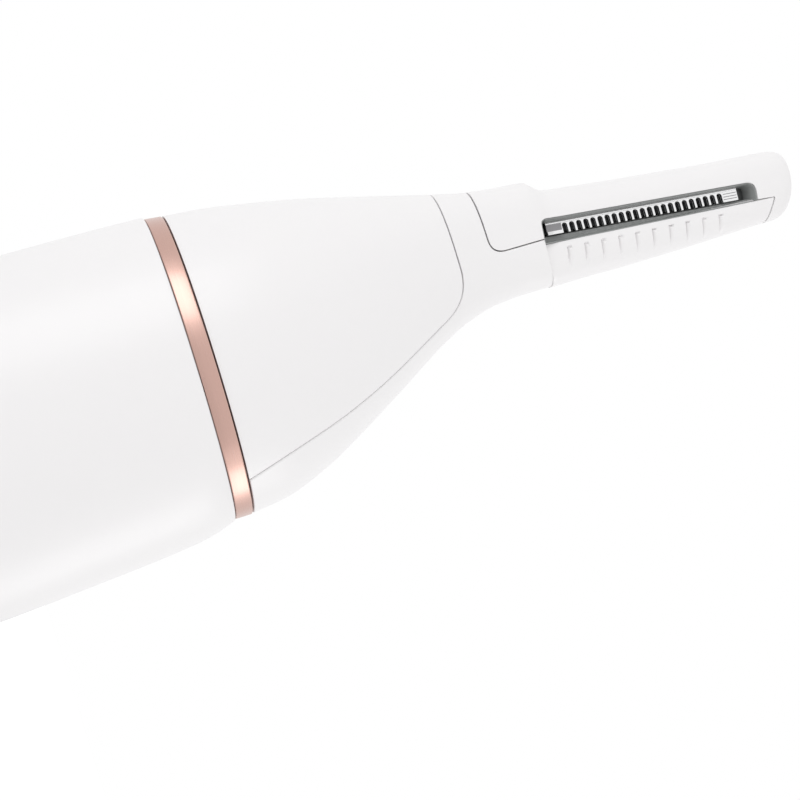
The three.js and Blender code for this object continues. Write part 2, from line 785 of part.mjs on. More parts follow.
// A side path with its corners rounded
function roundedPath(corners, radii, segments = 4) {
  const points = [];
  corners.forEach((corner, i) => {
    const radius = radii[i];
    if (!radius) {
      points.push(corner.clone());
      return;
    }
    const before = corners[i - 1].clone().sub(corner).normalize().multiplyScalar(radius).add(corner);
    const after = corners[i + 1].clone().sub(corner).normalize().multiplyScalar(radius).add(corner);
    const bend = new THREE.QuadraticBezierCurve(before, corner, after);
    points.push(...bend.getPoints(segments));
  });
  return points;
}

// The same path moved to its left by an even distance
function movedPath(points, distance) {
  return points.map((point, i) => {
    const into = point.clone().sub(points[Math.max(i - 1, 0)]);
    const out = points[Math.min(i + 1, points.length - 1)].clone().sub(point);
    if (i === 0) into.copy(out);
    if (i === points.length - 1) out.copy(into);
    const bend = into.normalize().add(out.normalize()).normalize();
    const lean = Math.max(Math.abs(bend.dot(out)), 0.5);
    return point.clone().add(new THREE.Vector2(-bend.y, bend.x).multiplyScalar(distance / lean));
  });
}

// Seam between the front cover and the rear shell, from the front down to the ring
function coverSeam() {
  const reach = 2 * ringHalfWidth;
  const at = (height, share) => new THREE.Vector2(height, share * ringHalfWidth);
  const corners = [
    new THREE.Vector2(coverSeamHeight, reach),
    at(coverSeamHeight, coverSeamShares.corner),
    at(headBase + coneLength * 0.45, coverSeamShares.bend),
    at(headBase - overrun, coverSeamShares.base),
  ];
  return roundedPath(corners, [0, coneLength * 0.1, coneLength * 0.2, 0]);
}

function coverRegion(gap) {
  const seam = movedPath(coverSeam(), gap);
  const shape = outlineOf([[headBase - overrun, 2 * ringHalfWidth], ...seam.map((p) => [p.x, p.y])]);
  return sideSolid(shape, -2 * ringHalfDepth, 2 * ringHalfDepth);
}

// Places on the arm in the comb's own directions: along it from its lower end, and up from its rail
const combOrigin = new THREE.Vector2(combHeight, armFrontReach - combDrop);
const alongComb = new THREE.Vector2(Math.cos(combSlope), -Math.sin(combSlope));
const upComb = new THREE.Vector2(Math.sin(combSlope), Math.cos(combSlope));

function combPoint(along, up) {
  return combOrigin.clone().addScaledVector(alongComb, along).addScaledVector(upComb, up);
}

// Corners of the slot, which narrows towards the tip
const slotRise = { lower: slotAboveRail, tip: slotAboveRailTip };
const slotFall = { lower: toothLength + slotBelowTeeth, tip: toothLength + slotBelowTeethTip };
const slotCorners = [
  combPoint(-slotLead, -slotFall.lower),
  combPoint(combLength + slotTail, -slotFall.tip),
  combPoint(combLength + slotTail, slotRise.tip),
  combPoint(-slotLead, slotRise.lower),
];

// Seam that parts the arm cover from the neck and the comb guard, from the front down to the tip's underside
const armSeamHeight = headBase + coneLength + panelGap;
const guardEndHeight = armEnd + tipLength * 0.365;

function armSeam() {
  const slotLower = slotCorners[0].clone().addScaledVector(upComb, panelGap);
  const slotTip = slotCorners[1].clone().addScaledVector(upComb, panelGap);
  const shelf = slotLower.y + 3 * panelGap;
  const corners = [
    new THREE.Vector2(armSeamHeight, 2 * armFrontReach),
    new THREE.Vector2(armSeamHeight, shelf),
    new THREE.Vector2(stepHeight, shelf),
    slotLower,
    slotTip,
    new THREE.Vector2(guardEndHeight, slotTip.y - panelGap),
    new THREE.Vector2(guardEndHeight - tipLength * 0.3, -armBackReach),
    new THREE.Vector2(guardEndHeight - tipLength * 0.42, -2 * armBackReach),
  ];
  const radii = [0, neckLength * 0.26, 0, 0, 0, tipLength * 0.08, 0, 0];
  return roundedPath(corners, radii);
}

function armRegion(gap) {
  const seam = movedPath(armSeam(), gap);
  const far = tipTop + overrun;
  const shape = outlineOf([
    ...seam.map((p) => [p.x, p.y]),
    [far, -2 * armBackReach],
    [far, 2 * armFrontReach],
  ]);
  return sideSolid(shape, -2 * ringHalfDepth, 2 * ringHalfDepth);
}

function slotSolid(fromDepth) {
  const corners = [...slotCorners.map((corner) => corner.clone())];
  const ringed = [corners[3], ...corners, corners[0]];
  const radii = [0, slotCornerRadius / 2, slotCornerRadius, slotCornerRadius, slotCornerRadius, 0];
  const path = roundedPath(ringed, radii, 4).slice(1, -1);
  return sideSolid(new THREE.Shape(path), fromDepth, 2 * armHalfDepth);
}

// A box in the comb's directions
function combBlock(along0, along1, up0, up1, fromDepth, toDepth) {
  const corners = [
    combPoint(along0, up0),
    combPoint(along1, up0),
    combPoint(along1, up1),
    combPoint(along0, up1),
  ];
  return sideSolid(new THREE.Shape(corners), fromDepth, toDepth);
}

const headHollow = bodyPart(head, headBase - overrun, armEnd, headInset, headStep, headSides);
const headBody = bodyPart(head, headBase, tipTop, 0, headStep, headSides);
const halfSeam = panelGap / 2;

// Room inside the arm for the comb, the blade and their seat
const seatUnderDepth = armHalfDepth * 0.6;
const bladeRoom = combBlock(-slotLead, combLength + slotTail, -toothLength - seatGap, combFlange + seatGap,
  -seatUnderDepth - seatGap, combTopDepth + seatGap);

function headFrontCover() {
  return cut(headBody.intersect(coverRegion(-halfSeam)), headHollow);
}

// Screw bosses of the rear shell, which take the two screws of the head frame
const frameScrewX = ringHalfDepth * 0.3;
const frameScrewY = ringHalfWidth * 0.55;
const frameBossRadius = 1.5;
const frameHeadRadius = 1.4;
const bossTop = deckTop + 4 * screwRadius;

function headRearShell() {
  const stepCut = sideSolid(outlineOf([
    [stepHeight, -2 * ringHalfWidth],
    [tipTop + overrun, -2 * ringHalfWidth],
    [tipTop + overrun, 2 * ringHalfWidth],
    [stepHeight, 2 * ringHalfWidth],
  ]), -2 * ringHalfDepth, 2 * ringHalfDepth);
  const whole = cut(headBody, coverRegion(halfSeam), armRegion(-halfSeam), stepCut);
  const shell = cut(whole, headHollow);
  const bosses = [-1, 1].map((side) => {
    const x = side * frameScrewX;
    const post = cylinderUp(frameBossRadius, deckTop + seatGap, bossTop, x, frameScrewY, 16);
    const rib = block(x - frameBossRadius / 3, x + frameBossRadius / 3, frameScrewY, ringHalfWidth,
      deckTop + seatGap, bossTop);
    return joined(post, rib.intersect(whole));
  });
  const pilots = [-1, 1].map((side) => cylinderUp(screwRadius + runningGap, headBase, bossTop - headWall,
    side * frameScrewX, frameScrewY, 12));
  return cut(joined(shell, ...bosses), ...pilots);
}

function armCover() {
  const shell = cut(headBody.intersect(armRegion(halfSeam)), headHollow);
  return cut(shell, slotSolid(0), bladeRoom);
}

// Comb guard: the lower wall of the slot, a little under the neck's surface, with a row of finger grooves
const grooveCount = 10;
const groovePitch = (combLength - 2 * combEnd) / (grooveCount - 0.45);
const grooveHalfWidth = 0.24;
const grooveDepth = 0.3;
const grooveLength = 1.9;
const grooveDrop = 0.55;

function combGuard() {
  const plain = slimArm.slice(1);
  const guardStations = [{ ...plain[0], height: stepHeight - overrun }, ...plain, ...tip];
  const inset = panelGap / 2;
  const outer = bodyPart(guardStations, stepHeight + panelGap, tipTop, inset, headStep, headSides);
  const below = cut(outer, armRegion(-halfSeam), headHollow, slotSolid(0), bladeRoom);
  const grooves = [];
  for (let i = 0; i < grooveCount; i += 1) {
    grooves.push(guardGroove(combEnd + (i + 0.1) * groovePitch));
  }
  return cut(below, ...grooves);
}

// One groove: round at its top, running down the wall until the wall curves away from it
function guardGroove(along) {
  const share = along / combLength;
  const slotEdge = THREE.MathUtils.lerp(slotFall.lower, slotFall.tip, share);
  const up = -slotEdge - grooveDrop - grooveHalfWidth;
  const middle = combPoint(along, up);
  const height = middle.x;
  const surface = stationValue(slimArm, 'half', height) - panelGap / 2;
  const shape = new THREE.Shape();
  const lean = -combSlope;
  shape.absarc(middle.x, middle.y, grooveHalfWidth, lean, Math.PI + lean, false);
  const foot = new THREE.Vector2(middle.x, middle.y).addScaledVector(upComb, -grooveLength);
  const side = alongComb.clone().multiplyScalar(grooveHalfWidth);
  shape.lineTo(foot.x - side.x, foot.y - side.y);
  shape.lineTo(foot.x + side.x, foot.y + side.y);
  return sideSolid(shape, surface - grooveDepth, 2 * armHalfDepth);
}

// Outline of a toothed edge with round-topped gaps between the teeth
function toothedOutline(start, end, top, firstGap, gaps, tipUp) {
  const half = toothGapWidth / 2;
  const points = [combPoint(start, top), combPoint(start, tipUp)];
  for (let i = 0; i < gaps; i += 1) {
    const middle = firstGap + i * toothPitch;
    points.push(combPoint(middle - half, tipUp));
    for (let k = 0; k <= 3; k += 1) {
      const angle = Math.PI - (Math.PI * k) / 3;
      points.push(combPoint(middle + half * Math.cos(angle), -toothRoot - half + half * Math.sin(angle)));
    }
    points.push(combPoint(middle + half, tipUp));
  }
  points.push(combPoint(end, tipUp), combPoint(end, top));
  return new THREE.Shape(points);
}

const firstGap = combEnd + toothPitch / 2;

function combBlade() {
  const outline = toothedOutline(0, combLength, combFlange, firstGap, toothGaps, -toothLength);
  return sideSolid(outline, combUnderDepth, combTopDepth);
}

// Moving blade: shorter than the comb by its stroke, with teeth of the same pitch
const bladeInset = combEnd * 0.55;
const bladeTop = toothRoot;

function movingBlade() {
  const outline = toothedOutline(bladeInset, combLength - bladeInset, bladeTop, firstGap, toothGaps,
    -toothLength + runningGap);
  return sideSolid(outline, bladeUnderDepth, bladeTopDepth);
}

// Drive: pivot, lever arms and the carrier that runs up the neck to the moving blade
const pivot = new THREE.Vector2(headBase + leverPivotRise, -leverPivotBack);
const carrierUp = -toothLength * 0.45;
const carrierHalf = 0.4;
const carrierTopDepth = bladeUnderDepth;
const carrierUnderDepth = 0;
const pivotFromComb = pivot.clone().sub(combOrigin);
const outputReach = carrierUp - pivotFromComb.dot(upComb);
const outputAlong = pivotFromComb.dot(alongComb);
const tipPinRadius = 0.6;
const yokeHalfLength = 1.7;
const yokeHalfHeight = 1.5;
const forkHalfGap = camPinRadius + 2 * camThrow + forkGap;
const forkProng = 1.1;
const leverBoss = 1.9;

function bladeCarrier() {
  const bar = combBlock(outputAlong, combLength - bladeInset - combEnd, carrierUp - carrierHalf,
    carrierUp + carrierHalf, carrierUnderDepth, carrierTopDepth);
  const yoke = combBlock(outputAlong - yokeHalfLength, outputAlong + yokeHalfLength, carrierUp - yokeHalfHeight,
    carrierUp + yokeHalfHeight, carrierUnderDepth, carrierTopDepth);
  const slotHalf = tipPinRadius + runningGap;
  const pinSlot = combBlock(outputAlong - slotHalf, outputAlong + slotHalf, carrierUp - yokeHalfHeight * 0.65,
    carrierUp + yokeHalfHeight * 0.65, carrierUnderDepth - overrun, carrierTopDepth + overrun);
  return cut(joined(bar, yoke), pinSlot);
}

function driveLever() {
  const half = leverThickness / 2;
  const forkTop = camPinTop + seatGap;
  const forkBottom = camTop + seatGap;
  const forkOuter = forkHalfGap + forkProng;
  const output = combPoint(outputAlong, carrierUp);
  const bossSolid = cylinderAcross(leverBoss, -half, half, pivot.y, pivot.x, 28);
  const input = sideSolid(outlineOf([
    [forkTop, -forkOuter],
    [forkTop, forkOuter],
    [forkTop + forkProng, forkOuter],
    [pivot.x + leverBoss * 0.3, pivot.y + leverBoss * 0.9],
    [pivot.x - leverBoss * 0.2, pivot.y - leverBoss * 0.9],
  ]), -half, half);
  const prongs = [-1, 1].map((side) => {
    const near = Math.min(side * forkHalfGap, side * forkOuter);
    const far = Math.max(side * forkHalfGap, side * forkOuter);
    return block(-half, half, near, far, forkBottom, forkTop + forkProng / 2);
  });
  const outputHalf = leverBoss * 0.55;
  const outputArm = sideSolid(outlineOf([
    [pivot.x - outputHalf, pivot.y],
    [pivot.x + outputHalf, pivot.y],
    [output.x + outputHalf * 0.8, output.y],
    [output.x - outputHalf * 0.8, output.y],
  ]), -half, -runningGap);
  const eye = cylinderAcross(outputHalf, -half, -runningGap, output.y, output.x, 20);
  const peg = cylinderAcross(tipPinRadius, -half / 2, carrierTopDepth + seatGap, output.y, output.x, 20);
  const bore = cylinderAcross(leverPinRadius + runningGap, -2 * half, 2 * half, pivot.y, pivot.x);
  return cut(joined(bossSolid, input, ...prongs, outputArm, eye, peg), bore);
}

const earInner = leverThickness / 2 + seatGap;
const earOuter = earInner + plateWall;

function leverPin() {
  return cylinderAcross(leverPinRadius, -earOuter - seatGap, earOuter + seatGap, pivot.y, pivot.x, 20);
}

// Head frame: the collar that slides over the socket, and the two ears that hold the lever
function headFrame() {
  const collarInset = headWall + seatGap;
  const collar = cut(
    bodyPart(head, headBase, deckTop, collarInset, headStep, headSides),
    bodyPart(ringStations, headBase - overrun, deckTop + overrun, socketOuter - seatGap, gripStep, gripSides),
  );
  const deck = bodyPart(head, deckHeight, deckTop, collarInset, headStep, headSides);
  const leverRoom = block(-earInner, earInner, -forkHalfGap - 2 * forkProng, -pivot.y + 2 * leverBoss,
    headBase, deckTop + overrun);
  const camRoom = cylinderUp(camRadius + camThrow + seatGap, headBase, deckTop + overrun);
  const ears = [-1, 1].map((side) => {
    const near = Math.min(side * earInner, side * earOuter);
    const far = Math.max(side * earInner, side * earOuter);
    const shape = new THREE.Shape();
    shape.moveTo(deckHeight + deckThickness / 2, pivot.y - leverBoss * 1.1);
    shape.lineTo(pivot.x, pivot.y - leverBoss);
    shape.absarc(pivot.x, pivot.y, leverBoss, -Math.PI / 2, Math.PI / 2, false);
    shape.lineTo(deckHeight + deckThickness / 2, pivot.y + leverBoss * 1.6);
    return sideSolid(shape, near, far);
  });
  const pinBore = cylinderAcross(leverPinRadius + runningGap, -2 * earOuter, 2 * earOuter, pivot.y, pivot.x);
  const screwHoles = [-1, 1].map((side) => joined(
    cylinderUp(screwRadius + runningGap, headBase, deckTop + overrun, side * frameScrewX, frameScrewY, 12),
    cylinderUp(frameHeadRadius + runningGap, headBase, deckHeight + screwHeadHeight + runningGap,
      side * frameScrewX, frameScrewY, 16),
  ));
  return cut(joined(collar, cut(deck, leverRoom, camRoom), ...ears), pinBore, ...screwHoles);
}

function frameScrew(side) {
  const x = side * frameScrewX;
  const shankTop = bossTop - headWall - seatGap;
  const shank = cylinderUp(screwRadius, deckHeight + screwHeadHeight / 2, shankTop, x, frameScrewY, 12);
  const cap = cylinderUp(frameHeadRadius, deckHeight, deckHeight + screwHeadHeight, x, frameScrewY, 16);
  return joined(shank, cap);
}

// Blade seat: the plastic bed in the arm that carries the comb by its hidden flange
function bladeSeat() {
  const baseTop = carrierUnderDepth - partingGap;
  const base = combBlock(0, combLength, -toothLength, combFlange, -seatUnderDepth, baseTop);
  const ridge = combBlock(0, combLength, bladeTop + partingGap, combFlange, baseTop - armWall, combUnderDepth);
  return joined(base, ridge);
}

// The grip
addPiece('grip_casing', 'gloss', gripCasing());
addPiece('trim_ring', 'rose', trimRing());
addPiece('chassis', 'inner', chassis());
addPiece('motor_can', 'steel', motorCan());
addPiece('motor_end_bell', 'inner', motorEndBell());
addPiece('motor_terminal_left', 'contact', motorTerminal(-1));
addPiece('motor_terminal_right', 'contact', motorTerminal(1));
addPiece('motor_pad', 'rubber', cylinderUp(canHalfThickness / 2, padHeight, padHeight + padLength));
addPiece('battery_cell', 'cell', batteryCell());
addPiece('cell_terminal', 'steel', cellTerminal());
addPiece('positive_contact', 'contact', positiveContact());
addPiece('negative_strip', 'contact', negativeStrip());
addPiece('switch_board', 'board', switchBoard());
addPiece('switch_body', 'dark', switchBody());
addPiece('head_socket', 'inner', headSocket());
addPiece('shaft_seal', 'rubber', shaftSeal());
addPiece('socket_screw_front', 'steel', socketScrew(-1));
addPiece('socket_screw_back', 'steel', socketScrew(1));

// The switch's moving pieces
addPiece('switch_knob', 'gloss', switchKnob());
addPiece('switch_toggle', 'dark', switchToggle());

// The battery cap
addPiece('battery_cap', 'gloss', batteryCap());
addPiece('cap_seal', 'rubber', capSeal());
addPiece('cap_contact', 'contact', capContact());
addPiece('contact_spring', 'steel', contactSpring());

// The motor's turning pieces
addPiece('motor_shaft', 'steel', motorShaft());
addPiece('drive_cam', 'dark', driveCam());

// The head
addPiece('head_front_cover', 'gloss', headFrontCover());
addPiece('head_rear_shell', 'gloss', headRearShell());
addPiece('arm_cover', 'gloss', armCover());
addPiece('comb_guard', 'gloss', combGuard());
addPiece('comb_blade', 'blade', combBlade());
addPiece('blade_seat', 'dark', bladeSeat());
addPiece('head_frame', 'inner', headFrame());
addPiece('lever_pin', 'steel', leverPin());
addPiece('frame_screw_left', 'steel', frameScrew(-1));
addPiece('frame_screw_right', 'steel', frameScrew(1));

// The head's moving pieces
addPiece('drive_lever', 'dark', driveLever());
addPiece('moving_blade', 'blade', movingBlade());
addPiece('blade_carrier', 'dark', bladeCarrier());

export default trimmer;
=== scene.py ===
"""Looks of the side-comb hair trimmer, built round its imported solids.

Lengths are in metres. +Z runs up the grip to the tip of the arm, -Y is the thumb side and +X is the
side with the comb. Heights are measured from the base.
"""

import json
import logging
import math
from collections.abc import Callable, Iterable
from dataclasses import dataclass, replace
from enum import Enum

import bmesh
import bpy
import numpy as np
from mathutils import Matrix, Vector


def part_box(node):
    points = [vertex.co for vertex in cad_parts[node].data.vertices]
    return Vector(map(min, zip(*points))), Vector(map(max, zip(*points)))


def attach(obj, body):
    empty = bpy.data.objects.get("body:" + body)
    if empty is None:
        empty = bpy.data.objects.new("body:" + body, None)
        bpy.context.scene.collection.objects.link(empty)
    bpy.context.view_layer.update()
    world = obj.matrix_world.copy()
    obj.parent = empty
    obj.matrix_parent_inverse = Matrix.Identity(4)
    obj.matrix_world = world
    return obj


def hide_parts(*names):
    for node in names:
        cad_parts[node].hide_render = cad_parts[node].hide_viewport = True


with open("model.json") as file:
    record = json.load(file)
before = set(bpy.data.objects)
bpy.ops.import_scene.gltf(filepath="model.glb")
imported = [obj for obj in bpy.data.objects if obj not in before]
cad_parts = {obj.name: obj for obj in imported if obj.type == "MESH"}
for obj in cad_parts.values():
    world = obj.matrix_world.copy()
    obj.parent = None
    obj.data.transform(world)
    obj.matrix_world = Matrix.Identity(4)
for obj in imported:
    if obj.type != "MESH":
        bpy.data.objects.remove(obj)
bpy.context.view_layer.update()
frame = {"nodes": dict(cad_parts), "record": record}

log = logging.getLogger("trimmer")

MM = 0.001
MERGE = 2e-6
ROUNDED_ANGLE = math.radians(35)
FLAT_ANGLE = math.radians(1)
TINY = 1e-12
Colour = tuple[float, float, float]
Place = tuple[float, float]
Faces = list[list[int]]
Array = np.ndarray
Socket = bpy.types.NodeSocket
Object = bpy.types.Object


# Rounded bodies and the curves on them


@dataclass(frozen=True)
class Station:
    """Sizes of an upright body at one height: its reach to the front and back, and its half width."""

    height: float
    front: float
    back: float
    half: float
    square: float


class Loft:
    """An upright body with rounded oval sections, drawn smoothly through its stations."""

    def __init__(self, stations: list[Station]) -> None:
        """Works out the slopes that let no size overshoot its stations.

        Args:
            stations: the sizes of the body, from the lowest height to the highest.
        """
        self.heights = np.array([s.height for s in stations])
        self.table = np.array([[s.front, s.back, s.half, s.square] for s in stations])
        slopes = np.diff(self.table, axis=0) / np.diff(self.heights)[:, None]
        before = slopes[:-1]
        after = slopes[1:]
        bends = before * after > 0
        total = np.where(bends, before + after, 1)
        self.tangents = np.vstack([slopes[:1], np.where(bends, 2 * before * after / total, 0), slopes[-1:]])

    def sizes(self, heights: Array) -> list[Array]:
        """Returns the front, back, half width and squareness at each height.

        Args:
            heights: heights in an array of any shape.
        """
        at = np.clip(heights, self.heights[0], self.heights[-1])
        low = np.clip(np.searchsorted(self.heights, at) - 1, 0, len(self.heights) - 2)
        span = self.heights[low + 1] - self.heights[low]
        t = ((at - self.heights[low]) / span)[..., None]
        span = span[..., None]
        rise = t * t * (3 - 2 * t)
        level = self.table[low] * (1 - rise) + self.table[low + 1] * rise
        lead = t * (1 - t) ** 2 * span * self.tangents[low]
        trail = t * t * (t - 1) * span * self.tangents[low + 1]
        values = level + lead + trail
        return [values[..., k] for k in range(4)]

    def points(self, turns: Array, heights: Array, inset: Array | float = 0.0) -> Array:
        """Returns points of the surface, set in by a wall.

        Args:
            turns: angles about the axis, 0 at the front and pi at the back, positive over the comb side.
            heights: their heights.
            inset: how far the points lie under the surface.
        """
        front, back, half, square = self.sizes(heights)
        across = np.sin(turns)
        ahead = np.cos(turns)
        radius = (np.abs(across) ** square + np.abs(ahead) ** square) ** (-1 / square)
        middle = (back - front) / 2
        reach = (back + front) / 2 - inset
        x = (half - inset) * across * radius
        y = middle - reach * ahead * radius
        return np.stack([x, y, heights + 0 * x], axis=-1)

    def turns_at(self, path: Array, inset: float = 0.0) -> Array:
        """Returns a side path as angles and heights on the surface.

        Args:
            path: heights and reaches to the front, one row each.
            inset: how far the surface is set in.
        """
        front, back, _, square = self.sizes(path[:, 0])
        middle = (back - front) / 2
        reach = (back + front) / 2 - inset
        ahead = np.clip((path[:, 1] + middle) / reach, -1, 1)
        across = (1 - np.abs(ahead) ** square) ** (1 / square)
        return np.stack([np.arctan2(across, ahead), path[:, 0]], axis=-1)

    def side_at(self, path: Array) -> Array:
        """Returns the surface's reach to the side over each point of a side path."""
        front, back, half, square = self.sizes(path[:, 0])
        ahead = np.abs(path[:, 1] + (back - front) / 2) / ((back + front) / 2)
        return half * (1 - np.minimum(ahead, 1) ** square) ** (1 / square)

    def front_at(self, x: Array, heights: Array) -> Array:
        """Returns the front surface's reach over the points at x.

        Args:
            x: places across the body.
            heights: their heights.
        """
        front, back, half, square = self.sizes(heights)
        ahead = (1 - np.abs(x / half) ** square) ** (1 / square)
        return (back + front) / 2 * ahead - (back - front) / 2


def bend(before: Array, corner: Array, after: Array, radius: float, shares: Iterable[float]) -> list[Array]:
    """Returns points of the round in a corner.

    Args:
        before: the point before the corner.
        corner: the corner.
        after: the point after it.
        radius: how far from the corner the round begins and ends.
        shares: places of the points on the round.
    """
    start = corner + radius * unit(before - corner)
    end = corner + radius * unit(after - corner)
    return [(1 - t) ** 2 * start + 2 * t * (1 - t) * corner + t * t * end for t in shares]


def rounded_path(corners: list[Place], radii: list[float], steps: int = 10) -> tuple[Array, list[int]]:
    """Rounds the corners of a side path.

    Args:
        corners: heights and reaches to the front.
        radii: how far from each inner corner its round begins, or 0 for a sharp one.
        steps: pieces of each round, an even number.

    Returns:
        The points of the path, and the index of each inner corner's middle.
    """
    points = [np.array(c) for c in corners]
    path = [points[0]]
    middles = []
    for before, corner, after, radius in zip(points, points[1:], points[2:], radii):
        shares = np.linspace(0, 1, steps + 1) if radius else np.array([0.5])
        middles.append(len(path) + len(shares) // 2)
        path += bend(before, corner, after, radius, shares)
    return np.array(path + [points[-1]]), middles


def stretches(path: Array, marks: list[int]) -> list[Array]:
    """Splits a path at some of its points, which both neighbours keep."""
    ends = [0, *marks, len(path) - 1]
    return [path[low:high + 1] for low, high in zip(ends, ends[1:])]


def until(path: Array, column: int, value: float) -> Array:
    """Cuts a path where one of its coordinates first passes a value."""
    sides = np.sign(path[:, column] - value)
    last = int(np.argmax(sides != sides[0]))
    share = (value - path[last - 1, column]) / (path[last, column] - path[last - 1, column])
    return np.vstack([path[:last], path[last - 1] + share * (path[last] - path[last - 1])])


def unit(vector: Array) -> Array:
    """Returns the vector at length 1."""
    return vector / max(np.linalg.norm(vector), TINY)


def moved(path: Array, distance: float) -> Array:
    """Moves a side path to its left.

    Args:
        path: points of the path.
        distance: how far each point moves, square to the path.
    """
    way = np.gradient(path, axis=0)
    way /= np.maximum(np.linalg.norm(way, axis=1), TINY)[:, None]
    return path + distance * np.stack([-way[:, 1], way[:, 0]], axis=-1)


def evenly(path: Array, count: int | Array) -> Array:
    """Returns points spaced along a path.

    Args:
        path: points of the path.
        count: how many points to return, or their places as shares of the path's length.
    """
    steps = np.linalg.norm(np.diff(path, axis=0), axis=1)
    along = np.concatenate([[0], np.cumsum(steps)])
    shares = np.linspace(0, 1, count) if isinstance(count, int) else count
    at = along[-1] * shares
    return np.stack([np.interp(at, along, path[:, k]) for k in range(path.shape[1])], axis=-1)


def line(start: Place | Array, end: Place | Array, count: int) -> Array:
    """Returns count points on a straight line."""
    return np.linspace(np.array(start), np.array(end), count)


def coons(bottom: Array, top: Array, left: Array, right: Array) -> Array:
    """Fills the region between four curves.

    Args:
        bottom: its lower edge, from left to right.
        top: its upper edge, from left to right.
        left: its left edge, from bottom to top.
        right: its right edge, from bottom to top.

    Returns:
        Rows of points from the bottom to the top.
    """
    u = np.linspace(0, 1, len(bottom))[None, :, None]
    v = np.linspace(0, 1, len(left))[:, None, None]
    ruled = (1 - v) * bottom[None] + v * top[None] + (1 - u) * left[:, None] + u * right[:, None]
    low = (1 - u) * bottom[0] + u * bottom[-1]
    high = (1 - u) * top[0] + u * top[-1]
    return ruled - (1 - v) * low - v * high


def eased(value: Array, low: float, high: float) -> Array:
    """Returns a smooth rise from 0 at the low value to 1 at the high one."""
    t = np.clip((value - low) / (high - low), 0, 1)
    return t * t * (3 - 2 * t)


# Meshes


def bands(rows: int, columns: int, sides: Iterable[int] | None = None, closed: bool = False) -> Faces:
    """Returns the faces between neighbouring rows of points.

    Args:
        rows: how many rows there are.
        columns: points in each row.
        sides: the first points of the faces in a row, or None for all round it.
        closed: whether the last row meets the first.
    """
    starts = range(columns) if sides is None else list(sides)
    return [[row * columns + i, row * columns + (i + 1) % columns,
             (row + 1) % rows * columns + (i + 1) % columns, (row + 1) % rows * columns + i]
            for row in range(rows if closed else rows - 1) for i in starts]


def settled(obj: Object) -> Object:
    """Turns an object and its modifiers into a plain mesh.

    Args:
        obj: the object, which is replaced.

    Returns:
        The new object, under the same name.
    """
    bpy.context.view_layer.update()
    graph = bpy.context.evaluated_depsgraph_get()
    mesh = bpy.data.meshes.new_from_object(obj.evaluated_get(graph), depsgraph=graph)
    name = obj.name
    old = obj.data
    bpy.data.objects.remove(obj)
    bpy.data.meshes.remove(old)
    mesh.name = name
    return placed(name, mesh)


def placed(name: str, mesh: bpy.types.Mesh) -> Object:
    """Links a mesh to the scene as an object at the origin."""
    obj = bpy.data.objects.new(name, mesh)
    bpy.context.scene.collection.objects.link(obj)
    return obj


def mesh_of(name: str, points: Array, faces: Faces) -> bpy.types.Mesh:
    """Makes a mesh of points and faces, and drops the faces that aren't valid."""
    mesh = bpy.data.meshes.new(name)
    mesh.from_pydata(points.tolist(), [], faces)
    mesh.validate()
    mesh.update()
    return mesh


def solid(name: str, points: Array, faces: Faces) -> Object:
    """Makes an object of points and faces, with its doubles merged and its faces turned outwards."""
    return merged(placed(name, mesh_of(name, points, faces)))


def prism(name: str, rings: list[Array]) -> Object:
    """Makes a bar from the rings of points at its two ends."""
    count = len(rings[0])
    ends = [list(range(count))[::-1], list(range(count, 2 * count))]
    return solid(name, np.vstack(rings), bands(2, count) + ends)


def smoothed(obj: Object, angle: float = 40.0) -> Object:
    """Shades an object smooth, apart from its edges over an angle in degrees."""
    obj.data.shade_smooth()
    obj.data.set_sharp_from_angle(angle=math.radians(angle))
    return obj


def merged(obj: Object, turn_out: bool = True) -> Object:
    """Merges an object's doubles and turns its faces outwards."""
    bm = bmesh.new()
    bm.from_mesh(obj.data)
    bmesh.ops.remove_doubles(bm, verts=bm.verts, dist=MERGE)
    bmesh.ops.dissolve_degenerate(bm, edges=bm.edges, dist=MERGE / 2)
    if turn_out:
        bmesh.ops.recalc_face_normals(bm, faces=bm.faces)
    bm.to_mesh(obj.data)
    bm.free()
    return obj


def joined(name: str, *objects: Object) -> Object:
    """Joins several objects into one mesh."""
    bm = bmesh.new()
    for obj in objects:
        bm.from_mesh(obj.data)
        old = obj.data
        bpy.data.objects.remove(obj)
        bpy.data.meshes.remove(old)
    mesh = bpy.data.meshes.new(name)
    bm.to_mesh(mesh)
    bm.free()
    return placed(name, mesh)


def softened(obj: Object, width: float, segments: int = 3, weighted: bool = False) -> Object:
    """Rounds an object's edges.

    Args:
        obj: the object.
        width: width of the round.
        segments: faces across the round.
        weighted: whether only the edges with a bevel weight are rounded.
    """
    bevel = obj.modifiers.new("round", "BEVEL")
    bevel.width = width
    bevel.segments = segments
    bevel.limit_method = "WEIGHT" if weighted else "ANGLE"
    bevel.angle_limit = ROUNDED_ANGLE
    bevel.use_clamp_overlap = True
    return settled(obj)


